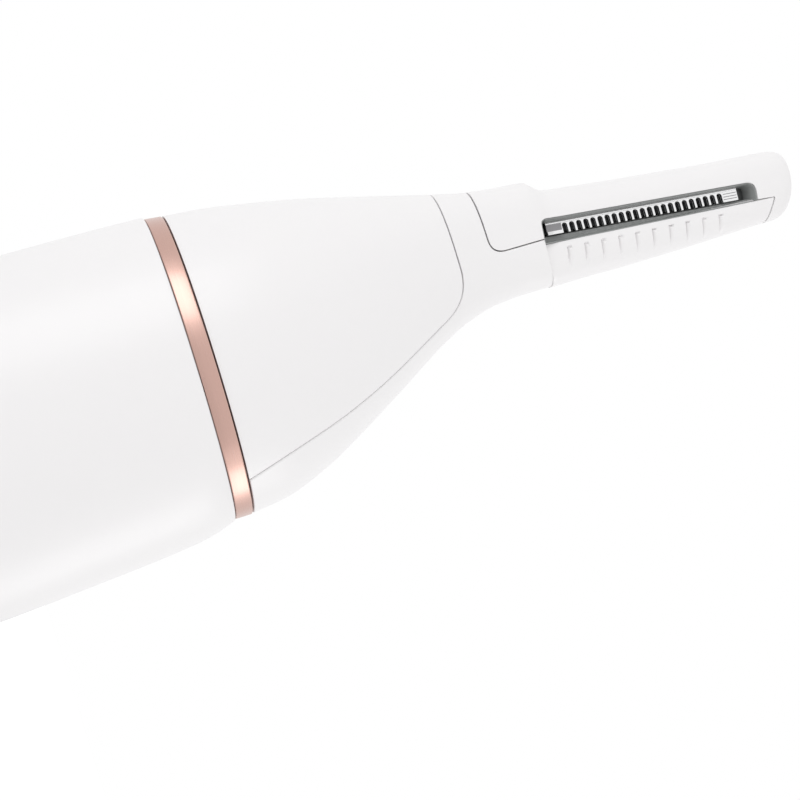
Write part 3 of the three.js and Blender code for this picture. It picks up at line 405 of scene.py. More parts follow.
class Skin:
    """A moulded wall: blocks of outer and inner surface points, joined by a rim along every open edge."""

    def __init__(self) -> None:
        """Starts with no blocks."""
        self.outer: list[Array] = []
        self.inner: list[Array] = []
        self.cells: list[Array] = []
        self.count = 0

    def add(self, outer: Array, inner: Array, mirrored: bool = False, gone: Array | None = None) -> None:
        """Adds one block.

        Args:
            outer: rows of points of the outer surface.
            inner: the same rows on the inner surface.
            mirrored: whether the block is laid on the far side instead.
            gone: which points lie in an opening, whose faces are left out.
        """
        rows, columns = outer.shape[:2]
        side = np.array([-1.0, 1.0, 1.0]) if mirrored else np.ones(3)
        index = self.count + np.arange(rows * columns).reshape(rows, columns)
        quads = [index[:-1, :-1], index[:-1, 1:], index[1:, 1:], index[1:, :-1]]
        if mirrored:
            quads.reverse()
        cells = np.stack(quads, axis=-1)
        if gone is not None:
            cells = cells[~(gone[:-1, :-1] & gone[:-1, 1:] & gone[1:, 1:] & gone[1:, :-1])]
        self.cells.append(cells.reshape(-1, 4))
        self.outer.append((outer * side).reshape(-1, 3))
        self.inner.append((inner * side).reshape(-1, 3))
        self.count += rows * columns

    def build(self, name: str) -> Object:
        """Joins the blocks into one closed object, whose outer rims have a bevel weight."""
        outer = np.concatenate(self.outer)
        inner = np.concatenate(self.inner)
        keys = np.round(outer / MERGE).astype(np.int64)
        _, first, index = np.unique(keys, axis=0, return_index=True, return_inverse=True)
        outer = outer[first]
        inner = inner[first]
        count = len(outer)
        cells = index.reshape(-1)[np.concatenate(self.cells)].tolist()
        faces = [list(dict.fromkeys(cell)) for cell in cells]
        faces = [face for face in faces if len(face) > 2]
        edges = {(a, b) for face in faces for a, b in zip(face, face[1:] + face[:1])}
        rims = [(a, b) for a, b in edges if (b, a) not in edges]
        inside = [[v + count for v in reversed(face)] for face in faces]
        walls = [[b, a, a + count, b + count] for a, b in rims]
        mesh = mesh_of(name, np.concatenate([outer, inner]), faces + inside + walls)
        weights = mesh.attributes.new("bevel_weight_edge", "FLOAT", "EDGE")
        sharp = {frozenset(rim) for rim in rims}
        weights.data.foreach_set("value", [float(frozenset(edge.vertices) in sharp) for edge in mesh.edges])
        outside = mesh.attributes.new("outside", "FLOAT", "POINT")
        outside.data.foreach_set("value", [float(v.index < count) for v in mesh.vertices])
        return placed(name, mesh)


# Finishes


class Nodes:
    """Adds and links the nodes of a tree."""

    def __init__(self, tree: bpy.types.NodeTree) -> None:
        """Takes the tree that the nodes go into."""
        self.tree = tree

    def feed(self, node: bpy.types.Node, values: dict[int | str, object]) -> None:
        """Sets or links inputs of a node, by name or number."""
        for key, value in values.items():
            if isinstance(value, Socket):
                self.tree.links.new(value, node.inputs[key])
            else:
                node.inputs[key].default_value = value

    def add(self, kind: str, values: dict[int | str, object] | None = None,
            **settings: object) -> bpy.types.Node:
        """Adds a node.

        Args:
            kind: the node's type.
            values: its inputs by name or number, each a constant or another node's output.
            settings: its properties.
        """
        node = self.tree.nodes.new(kind)
        for name, value in settings.items():
            setattr(node, name, value)
        self.feed(node, values or {})
        return node

    def maths(self, operation: str, *values: object) -> Socket:
        """Returns the result of a math node on its inputs."""
        return self.add("ShaderNodeMath", dict(enumerate(values)), operation=operation).outputs[0]

    def product(self, *values: object) -> Socket:
        """Returns the product of several values."""
        result = values[0]
        for value in values[1:]:
            result = self.maths("MULTIPLY", result, value)
        return result

    def less(self, value: object, taken: object) -> Socket:
        """Returns a value less another."""
        return self.maths("SUBTRACT", value, taken)

    def mapped(self, value: object, start: object, end: object, low: float, high: float,
               kind: str = "LINEAR") -> Socket:
        """Returns a value carried from one range into another.

        Args:
            value: the value.
            start: where it gives the first result, and all before it.
            end: where it gives the second result, and all after it.
            low: the first result.
            high: the second result.
            kind: how it runs between them.
        """
        inputs = {0: value, 1: start, 2: end, 3: low, 4: high}
        return self.add("ShaderNodeMapRange", inputs, interpolation_type=kind).outputs[0]

    def tinted(self, share: object, first: Colour, second: Colour, shaded: float = 0.0) -> Socket:
        """Returns a mix of two colours.

        Args:
            share: share of the second one.
            first: the first colour.
            second: the second colour.
            shaded: how much darker the second one is.
        """
        colours = {0: share, 6: shade(first, 0), 7: shade(second, shaded)}
        return self.add("ShaderNodeMix", colours, data_type="RGBA").outputs[2]

    def vector(self, operation: str, *values: object, output: int = 0) -> Socket:
        """Returns the result of a vector math node on its inputs."""
        return self.add("ShaderNodeVectorMath", dict(enumerate(values)), operation=operation).outputs[output]


def shade(colour: Colour, share: float) -> tuple[float, float, float, float]:
    """Returns a colour with its opacity, darker by a share."""
    return tuple(part * (1 - share) for part in colour) + (1.0,)


class Recipe:
    """Turns the pattern of a finish into a material."""

    roughness: float

    def build(self, name: str) -> bpy.types.Material:
        """Builds the material under a name."""
        material = bpy.data.materials.new(name)
        material.use_nodes = True
        nodes = Nodes(material.node_tree)
        place = nodes.add("ShaderNodeTexCoord").outputs["Object"]
        nodes.feed(nodes.tree.nodes["Principled BSDF"], self.pattern(nodes, place))
        return material

    def pattern(self, nodes: Nodes, place: Socket) -> dict[str, object]:
        """Returns the shader's inputs.

        Args:
            nodes: the material's nodes.
            place: the place on the object.
        """
        raise NotImplementedError

    def noise(self, nodes: Nodes, place: Socket, scale: float, detail: float) -> Socket:
        """Returns a noise at a place, by its scale and detail."""
        values = {"Vector": place, "Scale": scale, "Detail": detail}
        return nodes.add("ShaderNodeTexNoise", values).outputs[0]

    def bump(self, nodes: Nodes, height: Socket, depth: float, strength: float = 1.0) -> Socket:
        """Returns the surface's direction under a relief of a depth."""
        values = {"Height": height, "Distance": depth, "Strength": strength}
        return nodes.add("ShaderNodeBump", values).outputs[0]

    def worn(self, nodes: Nodes, share: Socket, spread: float) -> Socket:
        """Returns the roughness, changed by a share of it to both sides."""
        rough = self.roughness
        return nodes.mapped(share, 0.0, 1.0, rough * (1 - spread), rough * (1 + spread))


@dataclass(frozen=True)
class Moulded(Recipe):
    """Moulded plastic or rubber: one colour with a faint mottle, and the fine grain of its mould."""

    colour: Colour
    roughness: float
    mottle: float = 0.01
    grain: float = 0.25 * MM
    depth: float = 0.0006 * MM
    cloud_share: float = 0.05
    coat: float = 0.0
    coat_roughness: float = 0.2

    def pattern(self, nodes: Nodes, place: Socket) -> dict[str, object]:
        """Returns the shader's inputs: the mottle is coarse and the grain is fine."""
        cloud = self.noise(nodes, place, self.cloud_share / self.grain, 3.0)
        grain = self.noise(nodes, place, 1 / self.grain, 2.0)
        return {
            "Base Color": nodes.tinted(cloud, self.colour, self.colour, self.mottle),
            "Roughness": self.worn(nodes, grain, 0.07),
            "Normal": self.bump(nodes, grain, self.depth),
            "Coat Weight": self.coat,
            "Coat Roughness": self.coat_roughness,
        }


@dataclass(frozen=True)
class Brushed(Recipe):
    """Metal with fine lines left by a brush or a grinding wheel."""

    colour: Colour
    roughness: float
    line: float = 0.06 * MM
    run: tuple[float, float, float] = (0.02, 0.02, 1.0)
    depth: float = 0.0005 * MM
    tone: float = 0.06

    def pattern(self, nodes: Nodes, place: Socket) -> dict[str, object]:
        """Returns the shader's inputs: the lines are a noise drawn out along their run."""
        drawn = nodes.add("ShaderNodeMapping", {"Vector": place, "Scale": self.run}).outputs[0]
        lines = self.noise(nodes, drawn, 1 / self.line, 4.0)
        return {
            "Base Color": nodes.tinted(lines, self.colour, self.colour, self.tone),
            "Roughness": self.worn(nodes, lines, 0.2),
            "Normal": self.bump(nodes, lines, self.depth),
            "Metallic": 1.0,
        }


@dataclass(frozen=True)
class Printed(Recipe):
    """A lacquered board or a printed wrap: bands or tracks of a second colour over the first."""

    colour: Colour
    second: Colour
    roughness: float
    pitch: float
    width: float
    height: float = 0.01 * MM

    def pattern(self, nodes: Nodes, place: Socket) -> dict[str, object]:
        """Returns the shader's inputs: the bands follow one another up the piece."""
        up = nodes.add("ShaderNodeSeparateXYZ", {0: place}).outputs["Z"]
        band = nodes.maths("LESS_THAN", nodes.maths("PINGPONG", up, self.pitch / 2), self.width / 2)
        speck = self.noise(nodes, place, 4 / self.pitch, 4.0)
        return {
            "Base Color": nodes.tinted(band, self.colour, self.second),
            "Roughness": self.worn(nodes, speck, 0.2),
            "Normal": self.bump(nodes, band, self.height, 0.5),
        }


class Finish(Enum):
    """The finishes of the trimmer, under the names of its material slots."""

    GLOSS = "shell_gloss"
    ROSE = "rose_gold"
    INNER = "inner_plastic"
    DARK = "dark_plastic"
    BLADE = "blade_steel"
    STEEL = "plain_steel"
    MOTOR = "motor_metal"
    CONTACT = "contact_brass"
    RUBBER = "seal_rubber"
    BOARD = "board_green"
    CELL = "cell_wrap"
    # Painted shade: the blade steel darkened to stand for the shade under the slot's edge
    FLANGE = "blade_flange"
    # Painted shade: the blade steel darkened to stand for the moving blade's shade behind the comb
    MOVING = "blade_moving"
    # Partly painted shade: the seat's plastic lightened to a grey that stands for the shade inside the slot
    BED = "blade_bed"

    @property
    def slot(self) -> str:
        """The material slot that the finish stands for."""
        shared = {Finish.FLANGE: Finish.BLADE, Finish.MOVING: Finish.BLADE, Finish.BED: Finish.DARK}
        return shared.get(self, self).value


RECIPES = {
    Finish.GLOSS: Moulded((0.90, 0.888, 0.892), 0.34, mottle=0.012, coat=0.12),
    Finish.ROSE: Brushed((0.61, 0.40, 0.345), 0.26, run=(0.01, 0.01, 1.0)),
    Finish.INNER: Moulded((0.70, 0.69, 0.67), 0.50, mottle=0.03, depth=0.002 * MM),
    Finish.DARK: Moulded((0.035, 0.037, 0.040), 0.50, mottle=0.2, depth=0.002 * MM),
    Finish.BLADE: Brushed((0.90, 0.90, 0.905), 0.20, line=0.04 * MM, run=(1.0, 1.0, 0.05)),
    # Partly painted shade: a grey plastic for the seat, its tone set to stand for the shade inside the slot
    Finish.BED: Moulded((0.35, 0.362, 0.358), 0.45, mottle=0.15, depth=0.002 * MM),
    # Painted shade: darkened blade steel for the flange band and the bars on the comb's ends
    Finish.FLANGE: Brushed((0.30, 0.295, 0.305), 0.45, line=0.04 * MM, run=(1.0, 1.0, 0.05)),
    # Painted shade: the moving blade's steel darkened for its shade behind the comb
    Finish.MOVING: Brushed((0.34, 0.345, 0.35), 0.40, line=0.04 * MM, run=(1.0, 1.0, 0.05)),
    Finish.STEEL: Brushed((0.48, 0.49, 0.50), 0.32, run=(1.0, 1.0, 0.2)),
    Finish.MOTOR: Brushed((0.50, 0.51, 0.52), 0.36, run=(0.05, 0.05, 1.0)),
    Finish.CONTACT: Brushed((0.62, 0.42, 0.16), 0.32, run=(0.2, 1.0, 1.0)),
    Finish.RUBBER: Moulded((0.020, 0.020, 0.021), 0.75, mottle=0.3, depth=0.004 * MM),
    Finish.BOARD: Printed((0.020, 0.12, 0.045), (0.45, 0.30, 0.12), 0.45, 4 * MM, 0.35 * MM),
    Finish.CELL: Printed((0.16, 0.18, 0.20), (0.55, 0.56, 0.57), 0.35, 101 * MM, 9 * MM),
}


class Paintbox:
    """Builds each finish once."""

    def __init__(self) -> None:
        """Starts with none built."""
        self.built: dict[Finish, bpy.types.Material] = {}

    def material(self, finish: Finish) -> bpy.types.Material:
        """Returns the material of a finish."""
        if finish not in self.built:
            self.built[finish] = RECIPES[finish].build(finish.value)
        return self.built[finish]


paints = Paintbox()


def fitted(obj: Object, finish: Finish, body: str, *nodes: str) -> Object:
    """Dresses a finished piece and fixes it to its body.

    Args:
        obj: the piece.
        finish: its finish.
        body: the body that it rides on.
        nodes: the solids that it stands for.
    """
    obj.data.materials.clear()
    obj.data.materials.append(paints.material(finish))
    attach(obj, body)
    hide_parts(*nodes)
    log.info("%s: %d faces on %s", obj.name, len(obj.data.polygons), body)
    return obj


def finished_copy(node: str, finish: Finish, body: str, width: float = 0.08 * MM) -> Object:
    """Makes a copy of a solid with merged faces and rounded edges, and dresses it.

    Args:
        node: the solid.
        finish: its finish.
        body: its body.
        width: width of the rounds.
    """
    obj = merged(placed(f"{node}_finished", frame["nodes"][node].data.copy()), turn_out=False)
    bm = bmesh.new()
    bm.from_mesh(obj.data)
    bmesh.ops.dissolve_limit(bm, angle_limit=FLAT_ANGLE, verts=bm.verts, edges=bm.edges)
    bm.to_mesh(obj.data)
    bm.free()
    return fitted(smoothed(softened(obj, width, segments=2), 50), finish, body, node)


# Geometry Nodes


class Tree(Nodes):
    """A geometry tree with named sizes, which makes one plain object."""

    def __init__(self, name: str) -> None:
        """Starts a tree with the object's own mesh as its first input."""
        super().__init__(bpy.data.node_groups.new(name, "GeometryNodeTree"))
        for way in ("INPUT", "OUTPUT"):
            self.tree.interface.new_socket("Geometry", in_out=way, socket_type="NodeSocketGeometry")
        self.values: dict[str, object] = {}

    def size(self, name: str, value: object) -> Socket:
        """Adds a named input.

        Args:
            name: what it sizes.
            value: a whole number, a length, a vector or an object.

        Returns:
            The input inside the tree.
        """
        kinds = {int: "Int", float: "Float", Vector: "Vector", Object: "Object"}
        kind = "NodeSocket" + kinds[type(value)]
        socket = self.tree.interface.new_socket(name, in_out="INPUT", socket_type=kind)
        self.values[socket.identifier] = value
        return self.tree.nodes.new("NodeGroupInput").outputs[name]

    @property
    def own(self) -> Socket:
        """The mesh of the object that the tree changes."""
        return self.tree.nodes.new("NodeGroupInput").outputs["Geometry"]

    def result(self, geometry: Socket, start: Object | None = None) -> Object:
        """Ends the tree, runs it and turns its result into a plain mesh.

        Args:
            geometry: what the tree makes.
            start: the object that it changes, if any.
        """
        real = self.add("GeometryNodeRealizeInstances", {0: geometry})
        whole = self.add("GeometryNodeMergeByDistance", {"Geometry": real.outputs[0], "Distance": MERGE})
        dressed = self.add("GeometryNodeSetMaterial", {"Geometry": whole.outputs[0]})
        dressed.inputs["Material"].default_value = paints.material(Finish.GLOSS)
        self.add("NodeGroupOutput", {0: dressed.outputs[0]})
        obj = start or placed(self.tree.name, bpy.data.meshes.new(self.tree.name))
        modifier = obj.modifiers.new(self.tree.name, "NODES")
        modifier.node_group = self.tree
        for identifier, value in self.values.items():
            modifier[identifier] = value[:] if isinstance(value, Vector) else value
        return settled(obj)


def repeated(name: str, shape: Object, step: Vector, count: int) -> Object:
    """Repeats a shape along a straight line, and joins copies that meet.

    Args:
        name: the new object's name.
        shape: what is repeated, which is removed.
        step: the way from one copy to the next.
        count: how many copies there are.
    """
    tree = Tree(name)
    pitch = tree.size("Step", step)
    number = tree.size("Count", count)
    copied = tree.add("GeometryNodeObjectInfo", {"Object": tree.size("Shape", shape)})
    places = tree.add("GeometryNodeMeshLine", {"Count": number, "Offset": pitch})
    row = {"Points": places.outputs[0], "Instance": copied.outputs["Geometry"]}
    result = tree.result(tree.add("GeometryNodeInstanceOnPoints", row).outputs[0])
    bpy.data.objects.remove(shape)
    return result


# Head


@dataclass
class Head:
    """The cone, the neck and the slim arm: two covers, the rear shell and the comb guard, parted by seams."""

    half_width: float
    half_depth: float
    base: float
    cone_length: float = 27 * MM
    neck_length: float = 5.35 * MM
    arm_half: float = 2.72 * MM
    arm_front: float = 6.25 * MM
    arm_back: float = 2.45 * MM
    tip_length: float = 4 * MM
    seam: float = 0.12 * MM
    cone_wall: float = 1.3 * MM
    arm_wall: float = 0.8 * MM
    edge: float = 0.12 * MM
    run_over: float = 2 * MM
    tooth_pitch: float = 0.682 * MM
    tooth_gaps: int = 23
    tooth_length: float = 1.05 * MM
    comb_end: float = 1.4 * MM
    comb_drop: float = 3 * MM
    comb_slope: float = math.radians(5.86)
    slot_lead: float = 0.7 * MM
    slot_tail: float = 1.76 * MM
    slot_rise: Place = (0.44 * MM, 0.33 * MM)
    slot_fall: Place = (1.93 * MM, 1.55 * MM)
    slot_round: float = 0.6 * MM
    # Shares of the cone, the neck, the tip, the ring and the walls
    cover_top: float = 0.879
    cover_bend: float = 0.45
    cover_reaches: tuple[float, float, float] = (-0.103, -0.532, -0.822)
    cover_rounds: Place = (0.1, 0.2)
    shelf_round: float = 0.26
    guard_tail: float = 0.365
    guard_lean: float = 0.3
    guard_round: float = 0.08
    crown_start: float = 0.56
    thin_start: float = 0.55
    thin_wall: float = 0.45
    rear_wall: float = 0.75
    squared_band: Place = (0.2, 1.6)
    # How finely the shells are divided
    crowding: float = 1.35
    path_points: int = 200
    rows: int = 60
    columns: int = 56
    tip_rows: int = 14
    crown_rows: int = 6

    def __post_init__(self) -> None:
        """Works out the heights and the surfaces."""
        self.cone_top = self.base + self.cone_length
        self.cover_seam = self.base + self.cover_top * self.cone_length
        self.arm_seam = self.cone_top + self.seam
        self.step = self.cone_top + self.neck_length
        self.comb_length = self.tooth_gaps * self.tooth_pitch + 2 * self.comb_end
        self.arm_end = self.step + self.seam + self.slot_lead + self.comb_length + self.slot_tail
        self.tip = self.arm_end + self.tip_length
        self.guard_end = self.arm_end + self.guard_tail * self.tip_length
        self.comb_origin = np.array([self.step + self.slot_lead + self.seam, self.arm_front - self.comb_drop])
        self.along_comb = np.array([math.cos(self.comb_slope), -math.sin(self.comb_slope)])
        self.up_comb = np.array([math.sin(self.comb_slope), math.cos(self.comb_slope)])
        self.slot_low = -self.slot_lead
        self.slot_high = self.comb_length + self.slot_tail
        self.shelf = self.comb_point(self.slot_low, self.seam - self.slot_fall[0])[1] + 3 * self.seam
        self.tip_seam = self.comb_point(self.slot_high, self.seam - self.slot_fall[1])
        arm = self.arm_stations()
        self.surface = Loft(self.cone_stations() + self.neck_stations() + arm)
        plain = replace(arm[1], height=self.step - self.run_over)
        self.guard_surface = Loft([plain, *arm[1:]])

    def cone_stations(self) -> list[Station]:
        """Returns the stations of the cone, in shares of its length and of the ring."""
        shares = [
            (0, 0.986, 0.996, 0.985, 2.1),
            (0.12, 0.966, 0.966, 0.965, 2.1),
            (0.28, 0.915, 0.859, 0.905, 2.15),
            (0.45, 0.850, 0.690, 0.790, 2.2),
            (0.62, 0.771, 0.503, 0.645, 2.25),
            (0.78, 0.692, 0.324, 0.505, 2.35),
            (0.89, 0.639, 0.228, 0.412, 2.45),
            (1, 0.590, 0.174, 0.335, 2.55),
        ]
        width = self.half_width
        return [Station(self.base + h * self.cone_length, f * width, b * width, w * self.half_depth, square)
                for h, f, b, w, square in shares]

    def arm_part(self, low: float, length: float, shares: list[tuple[float, ...]]) -> list[Station]:
        """Returns stations of one stretch of the arm, from shares of its length and half sizes."""
        return [Station(low + h * length, f * self.arm_front, b * self.arm_back, w * self.arm_half, square)
                for h, f, b, w, square in shares]

    def neck_stations(self) -> list[Station]:
        """Returns the stations of the neck."""
        shares = [(0.55, 1.262, 0.920, 1.320, 2.65), (1, 1.225, 0.930, 1.210, 2.75)]
        return self.arm_part(self.base + self.cone_length, self.neck_length, shares)

    def arm_stations(self) -> list[Station]:
        """Returns the stations of the arm and its rounded tip."""
        arm_shares = [
            (0.075, 1.040, 0.940, 1.055, 2.8),
            (0.14, 1.008, 0.970, 1.010, 2.8),
            (0.36, 0.908, 1.010, 0.985, 2.8),
            (0.6, 0.815, 1.010, 0.955, 2.8),
            (0.82, 0.730, 0.985, 0.920, 2.8),
            (1, 0.676, 0.970, 0.890, 2.8),
        ]
        tip_shares = [
            (0.38, 0.657, 0.965, 0.870, 2.7),
            (0.62, 0.638, 0.800, 0.830, 2.6),
            (0.82, 0.595, 0.440, 0.730, 2.45),
            (0.94, 0.530, 0.020, 0.570, 2.3),
            (1, 0.430, -0.400, 0.360, 2.1),
        ]
        arm = self.arm_part(self.step, self.arm_end - self.step, arm_shares)
        return arm + self.arm_part(self.arm_end, self.tip_length, tip_shares)

    def comb_point(self, along: float, up: float) -> Array:
        """Returns the height and reach to the front of a place on the comb."""
        return self.comb_origin + along * self.along_comb + up * self.up_comb

    def front_line(self, low: float, high: float, count: int) -> Array:
        """Returns points up the middle of the front, as angles and heights."""
        return line((0, low), (0, high), count)

    def back_line(self, low: float, high: float, count: int) -> Array:
        """Returns points up the middle of the back, as angles and heights."""
        return line((np.pi, low), (np.pi, high), count)

    def wall_points(self, grid: Array, wall: float, sunk: float = 0.0,
                    plain: bool = False) -> tuple[Array, Array]:
        """Returns the outer and inner points of a block of angles and heights.

        Args:
            grid: rows of angles and heights.
            wall: thickness of the wall.
            sunk: how far the outer surface is set in.
            plain: whether the block lies on the guard's surface.
        """
        loft = self.guard_surface if plain else self.surface
        turns = grid[..., 0]
        heights = grid[..., 1]
        close = self.arm_end + self.thin_start * self.tip_length
        room = self.tip - close
        squeeze = (room - wall) / room
        inner_heights = np.where(heights > close, close + (heights - close) * squeeze, heights)
        thin = np.interp(heights, [close, self.tip], [wall, self.thin_wall * wall])
        return loft.points(turns, heights, sunk), loft.points(turns, inner_heights, sunk + thin)

    def cover_path(self, gap: float) -> list[Array]:
        """Returns the seam of the front cover: its top from the front, and its side down to the base.

        Args:
            gap: how far the path lies to the side of the rear shell.
        """
        reach = self.surface.sizes(np.array([self.cover_seam + gap]))[0][0]
        knee = self.base + self.cover_bend * self.cone_length
        heights = (self.cover_seam, knee, self.base - self.run_over)
        reaches = [share * self.half_width for share in self.cover_reaches]
        corners = [(self.cover_seam, reach), *zip(heights, reaches)]
        path, marks = rounded_path(corners, [share * self.cone_length for share in self.cover_rounds])
        top, side = stretches(moved(path, gap), marks[:1])
        return [top, until(evenly(side, 2 * self.path_points), 0, self.base)]

    def arm_path(self, gap: float) -> list[Array]:
        """Returns the seam of the arm cover: its top, shelf, run along the arm, end and fall to the back.

        Args:
            gap: how far the path lies to the side of the arm cover.
        """
        reach = self.surface.sizes(np.array([self.arm_seam + gap]))[0][0]
        corner = (self.guard_end, self.tip_seam[1] - self.seam)
        foot = (self.guard_end - self.guard_lean * self.tip_length, -self.arm_back)
        beyond = (2 * foot[0] - corner[0], 2 * foot[1] - corner[1])
        corners = [(self.arm_seam, reach), (self.arm_seam, self.shelf), (self.step, self.shelf)]
        corners += [self.tip_seam, corner, beyond]
        radii = [self.shelf_round * self.neck_length, 0, 0, self.guard_round * self.tip_length]
        path, marks = rounded_path(corners, radii)
        parts = stretches(moved(path, gap), marks)
        fall = evenly(parts[-1], self.path_points)
        back = self.surface.sizes(fall[:, 0])[1]
        parts[-1] = fall[fall[:, 1] > -back]
        return parts

    def slot_path(self, gap: float) -> list[Array]:
        """Returns the arm cover's edge of the slot: its left end, its top and its right end.

        Args:
            gap: the gap of the seams that the ends run into.
        """
        foot = self.comb_point(self.slot_low, -self.slot_fall[0])
        head = self.comb_point(self.slot_low, self.slot_rise[0])
        tail = self.comb_point(self.slot_high, self.slot_rise[1])
        share = (self.shelf + gap - foot[1]) / (head[1] - foot[1])
        start = foot + share * (head - foot)
        end = self.tip_seam + gap * self.up_comb
        path, marks = rounded_path([start, head, tail, end], [self.slot_round, 1.5 * self.slot_round])
        return stretches(path, marks)

    def front_cover(self) -> Object:
        """Builds the cover over the front of the cone."""
        skin = Skin()
        top, side = self.cover_path(-self.seam / 2)
        right = self.surface.turns_at(evenly(side[::-1], self.rows))
        upper = self.surface.turns_at(evenly(top, self.columns))
        front = self.front_line(self.base, upper[0, 1], self.rows)
        grid = coons(line((0, self.base), right[0], self.columns), upper, front, right)
        for mirrored in (False, True):
            skin.add(*self.wall_points(grid, self.cone_wall), mirrored=mirrored)
        return smoothed(softened(skin.build("front_cover_skin"), self.edge, weighted=True))

    def rear_shell(self) -> Object:
        """Builds the shell behind the front cover, which closes into the neck."""
        skin = Skin()
        surface = self.surface
        top, side = self.cover_path(self.seam / 2)
        arm_top, shelf = self.arm_path(-self.seam / 2)[:2]
        around = self.columns // 2
        left = surface.turns_at(evenly(side[::-1], self.rows))
        corner = left[-1]
        behind = line(corner, (np.pi, corner[1]), around)
        lower = coons(line(left[0], (np.pi, self.base), around), behind, left,
                      self.back_line(self.base, corner[1], self.rows))
        shelf_turns = surface.turns_at(evenly(shelf, 16))
        arm_corner = shelf_turns[0]
        arm_behind = line(arm_corner, (np.pi, arm_corner[1]), around)
        band_low = np.vstack([surface.turns_at(evenly(top, self.columns)), behind[1:]])
        band_high = np.vstack([surface.turns_at(evenly(arm_top, self.columns)), arm_behind[1:]])
        band = coons(band_low, band_high, self.front_line(band_low[0, 1], band_high[0, 1], 12),
                     self.back_line(corner[1], arm_corner[1], 12))
        step = shelf_turns[-1]
        upper = coons(arm_behind, line(step, (np.pi, step[1]), around), shelf_turns,
                      self.back_line(arm_corner[1], step[1], 16))
        for mirrored in (False, True):
            for grid in (lower, band, upper):
                skin.add(*self.wall_points(grid, self.rear_wall * self.cone_wall), mirrored=mirrored)
        return smoothed(softened(skin.build("rear_shell_skin"), self.edge, weighted=True))

    def closing(self, on: Callable[[Array], Array], fall: Array) -> Array:
        """Returns the end of a seam as angles and heights, up to the middle of the back.

        Args:
            on: the function that carries a side path onto the surface.
            fall: the seam's end.
        """
        return np.vstack([on(evenly(fall, 40))[:-1], [(np.pi, fall[-1, 0])]])

    def ring_turns(self, low: Array, height: float) -> Array:
        """Returns the points at one height over each point of a lower edge."""
        return np.stack([low[:, 0], np.full(len(low), height)], axis=-1)

    def cover_blocks(self) -> list[tuple[Array, bool]]:
        """Returns the blocks of the arm cover, and whether each lies on the far side."""
        gap = self.seam / 2
        top, shelf, run, _, fall = self.arm_path(gap)
        left, crown, right = self.slot_path(gap)
        on = self.surface.turns_at
        middle = on(crown)
        first = middle[0]
        last = middle[-1]
        base = on(evenly(top, self.columns))
        ring = self.arm_end + self.crown_start * self.tip_length
        neck_rows, wall_rows, arm_rows, end_rows = 20, 13, self.rows, 8
        start = self.front_line(base[0, 1], first[1], neck_rows + 5)
        up = self.front_line(first[1], last[1], arm_rows)
        end = self.front_line(last[1], ring, end_rows)
        lip = self.columns - wall_rows + 1
        side = on(evenly(shelf, neck_rows))
        slot_foot = on(evenly(left[::-1], wall_rows))
        near_shelf = np.vstack([side, line(side[-1], slot_foot[-1], 6)[1:]])
        near_top = np.vstack([line((0, first[1]), first, lip), slot_foot[1:]])
        far_shelf = on(evenly(shelf, neck_rows + 5))
        far_run = on(evenly(run, arm_rows))
        far_top = line((0, first[1]), far_run[0], self.columns)
        closing = self.closing(on, fall)
        wall = on(evenly(right, 12))
        seam = np.vstack([wall, line(wall[-1], closing[0], 10)[1:]])
        near_end = np.vstack([line((0, last[1]), last, lip), seam[1:], closing[1:]])
        far_side = line((0, last[1]), far_run[-1], self.columns)
        far_end = np.vstack([far_side, line(far_run[-1], closing[0], 10)[1:], closing[1:]])
        blocks = [
            (coons(base, near_top, start, near_shelf), False),
            (coons(near_top[:lip], near_end[:lip], up, on(evenly(crown, arm_rows))), False),
            (coons(base, far_top, start, far_shelf), True),
            (coons(far_top, far_end[:self.columns], up, far_run), True),
        ]
        for edge, mirrored in ((near_end, False), (far_end, True)):
            back = self.back_line(edge[-1, 1], ring, end_rows)
            blocks.append((coons(edge, self.ring_turns(edge, ring), end, back), mirrored))
            heights = ring + (self.tip - ring) * np.sin(np.linspace(0, np.pi / 2, self.tip_rows))
            blocks.append((np.stack([self.ring_turns(edge, h) for h in heights]), mirrored))
        return blocks

    def squared(self, outer: Array, inner: Array) -> Array:
        """Returns inner points that lie straight behind the outer ones beside the slot."""
        edge = evenly(np.vstack(self.slot_path(self.seam / 2)), 4 * self.rows)
        away = np.linalg.norm(outer[..., None, [2, 1]] * [1, -1] - edge, axis=-1).min(axis=-1)
        near = 1 - eased(away, *[share * self.arm_wall for share in self.squared_band])
        straight = outer - [self.arm_wall, 0, 0]
        return inner + near[..., None] * (straight - inner)

    def arm_cover(self) -> Object:
        """Builds the cover over the arm, its slot and its rounded tip."""
        skin = Skin()
        for grid, mirrored in self.cover_blocks():
            outer, inner = self.wall_points(grid, self.arm_wall)
            skin.add(outer, inner if mirrored else self.squared(outer, inner), mirrored=mirrored)
            if grid[-1, 0, 1] == self.tip:
                skin.add(self.crown(outer[-1]), self.crown(inner[-1]), mirrored=mirrored)
        return smoothed(softened(skin.build("arm_cover_skin"), self.edge, weighted=True))

    def crown(self, rim: Array) -> Array:
        """Returns rows that close one half of the tip's rim, down to a point in its middle."""
        middle = (rim[0] + rim[-1]) / 2
        shares = np.linspace(1, 0, self.crown_rows)[:, None, None]
        return middle + shares * (rim - middle)

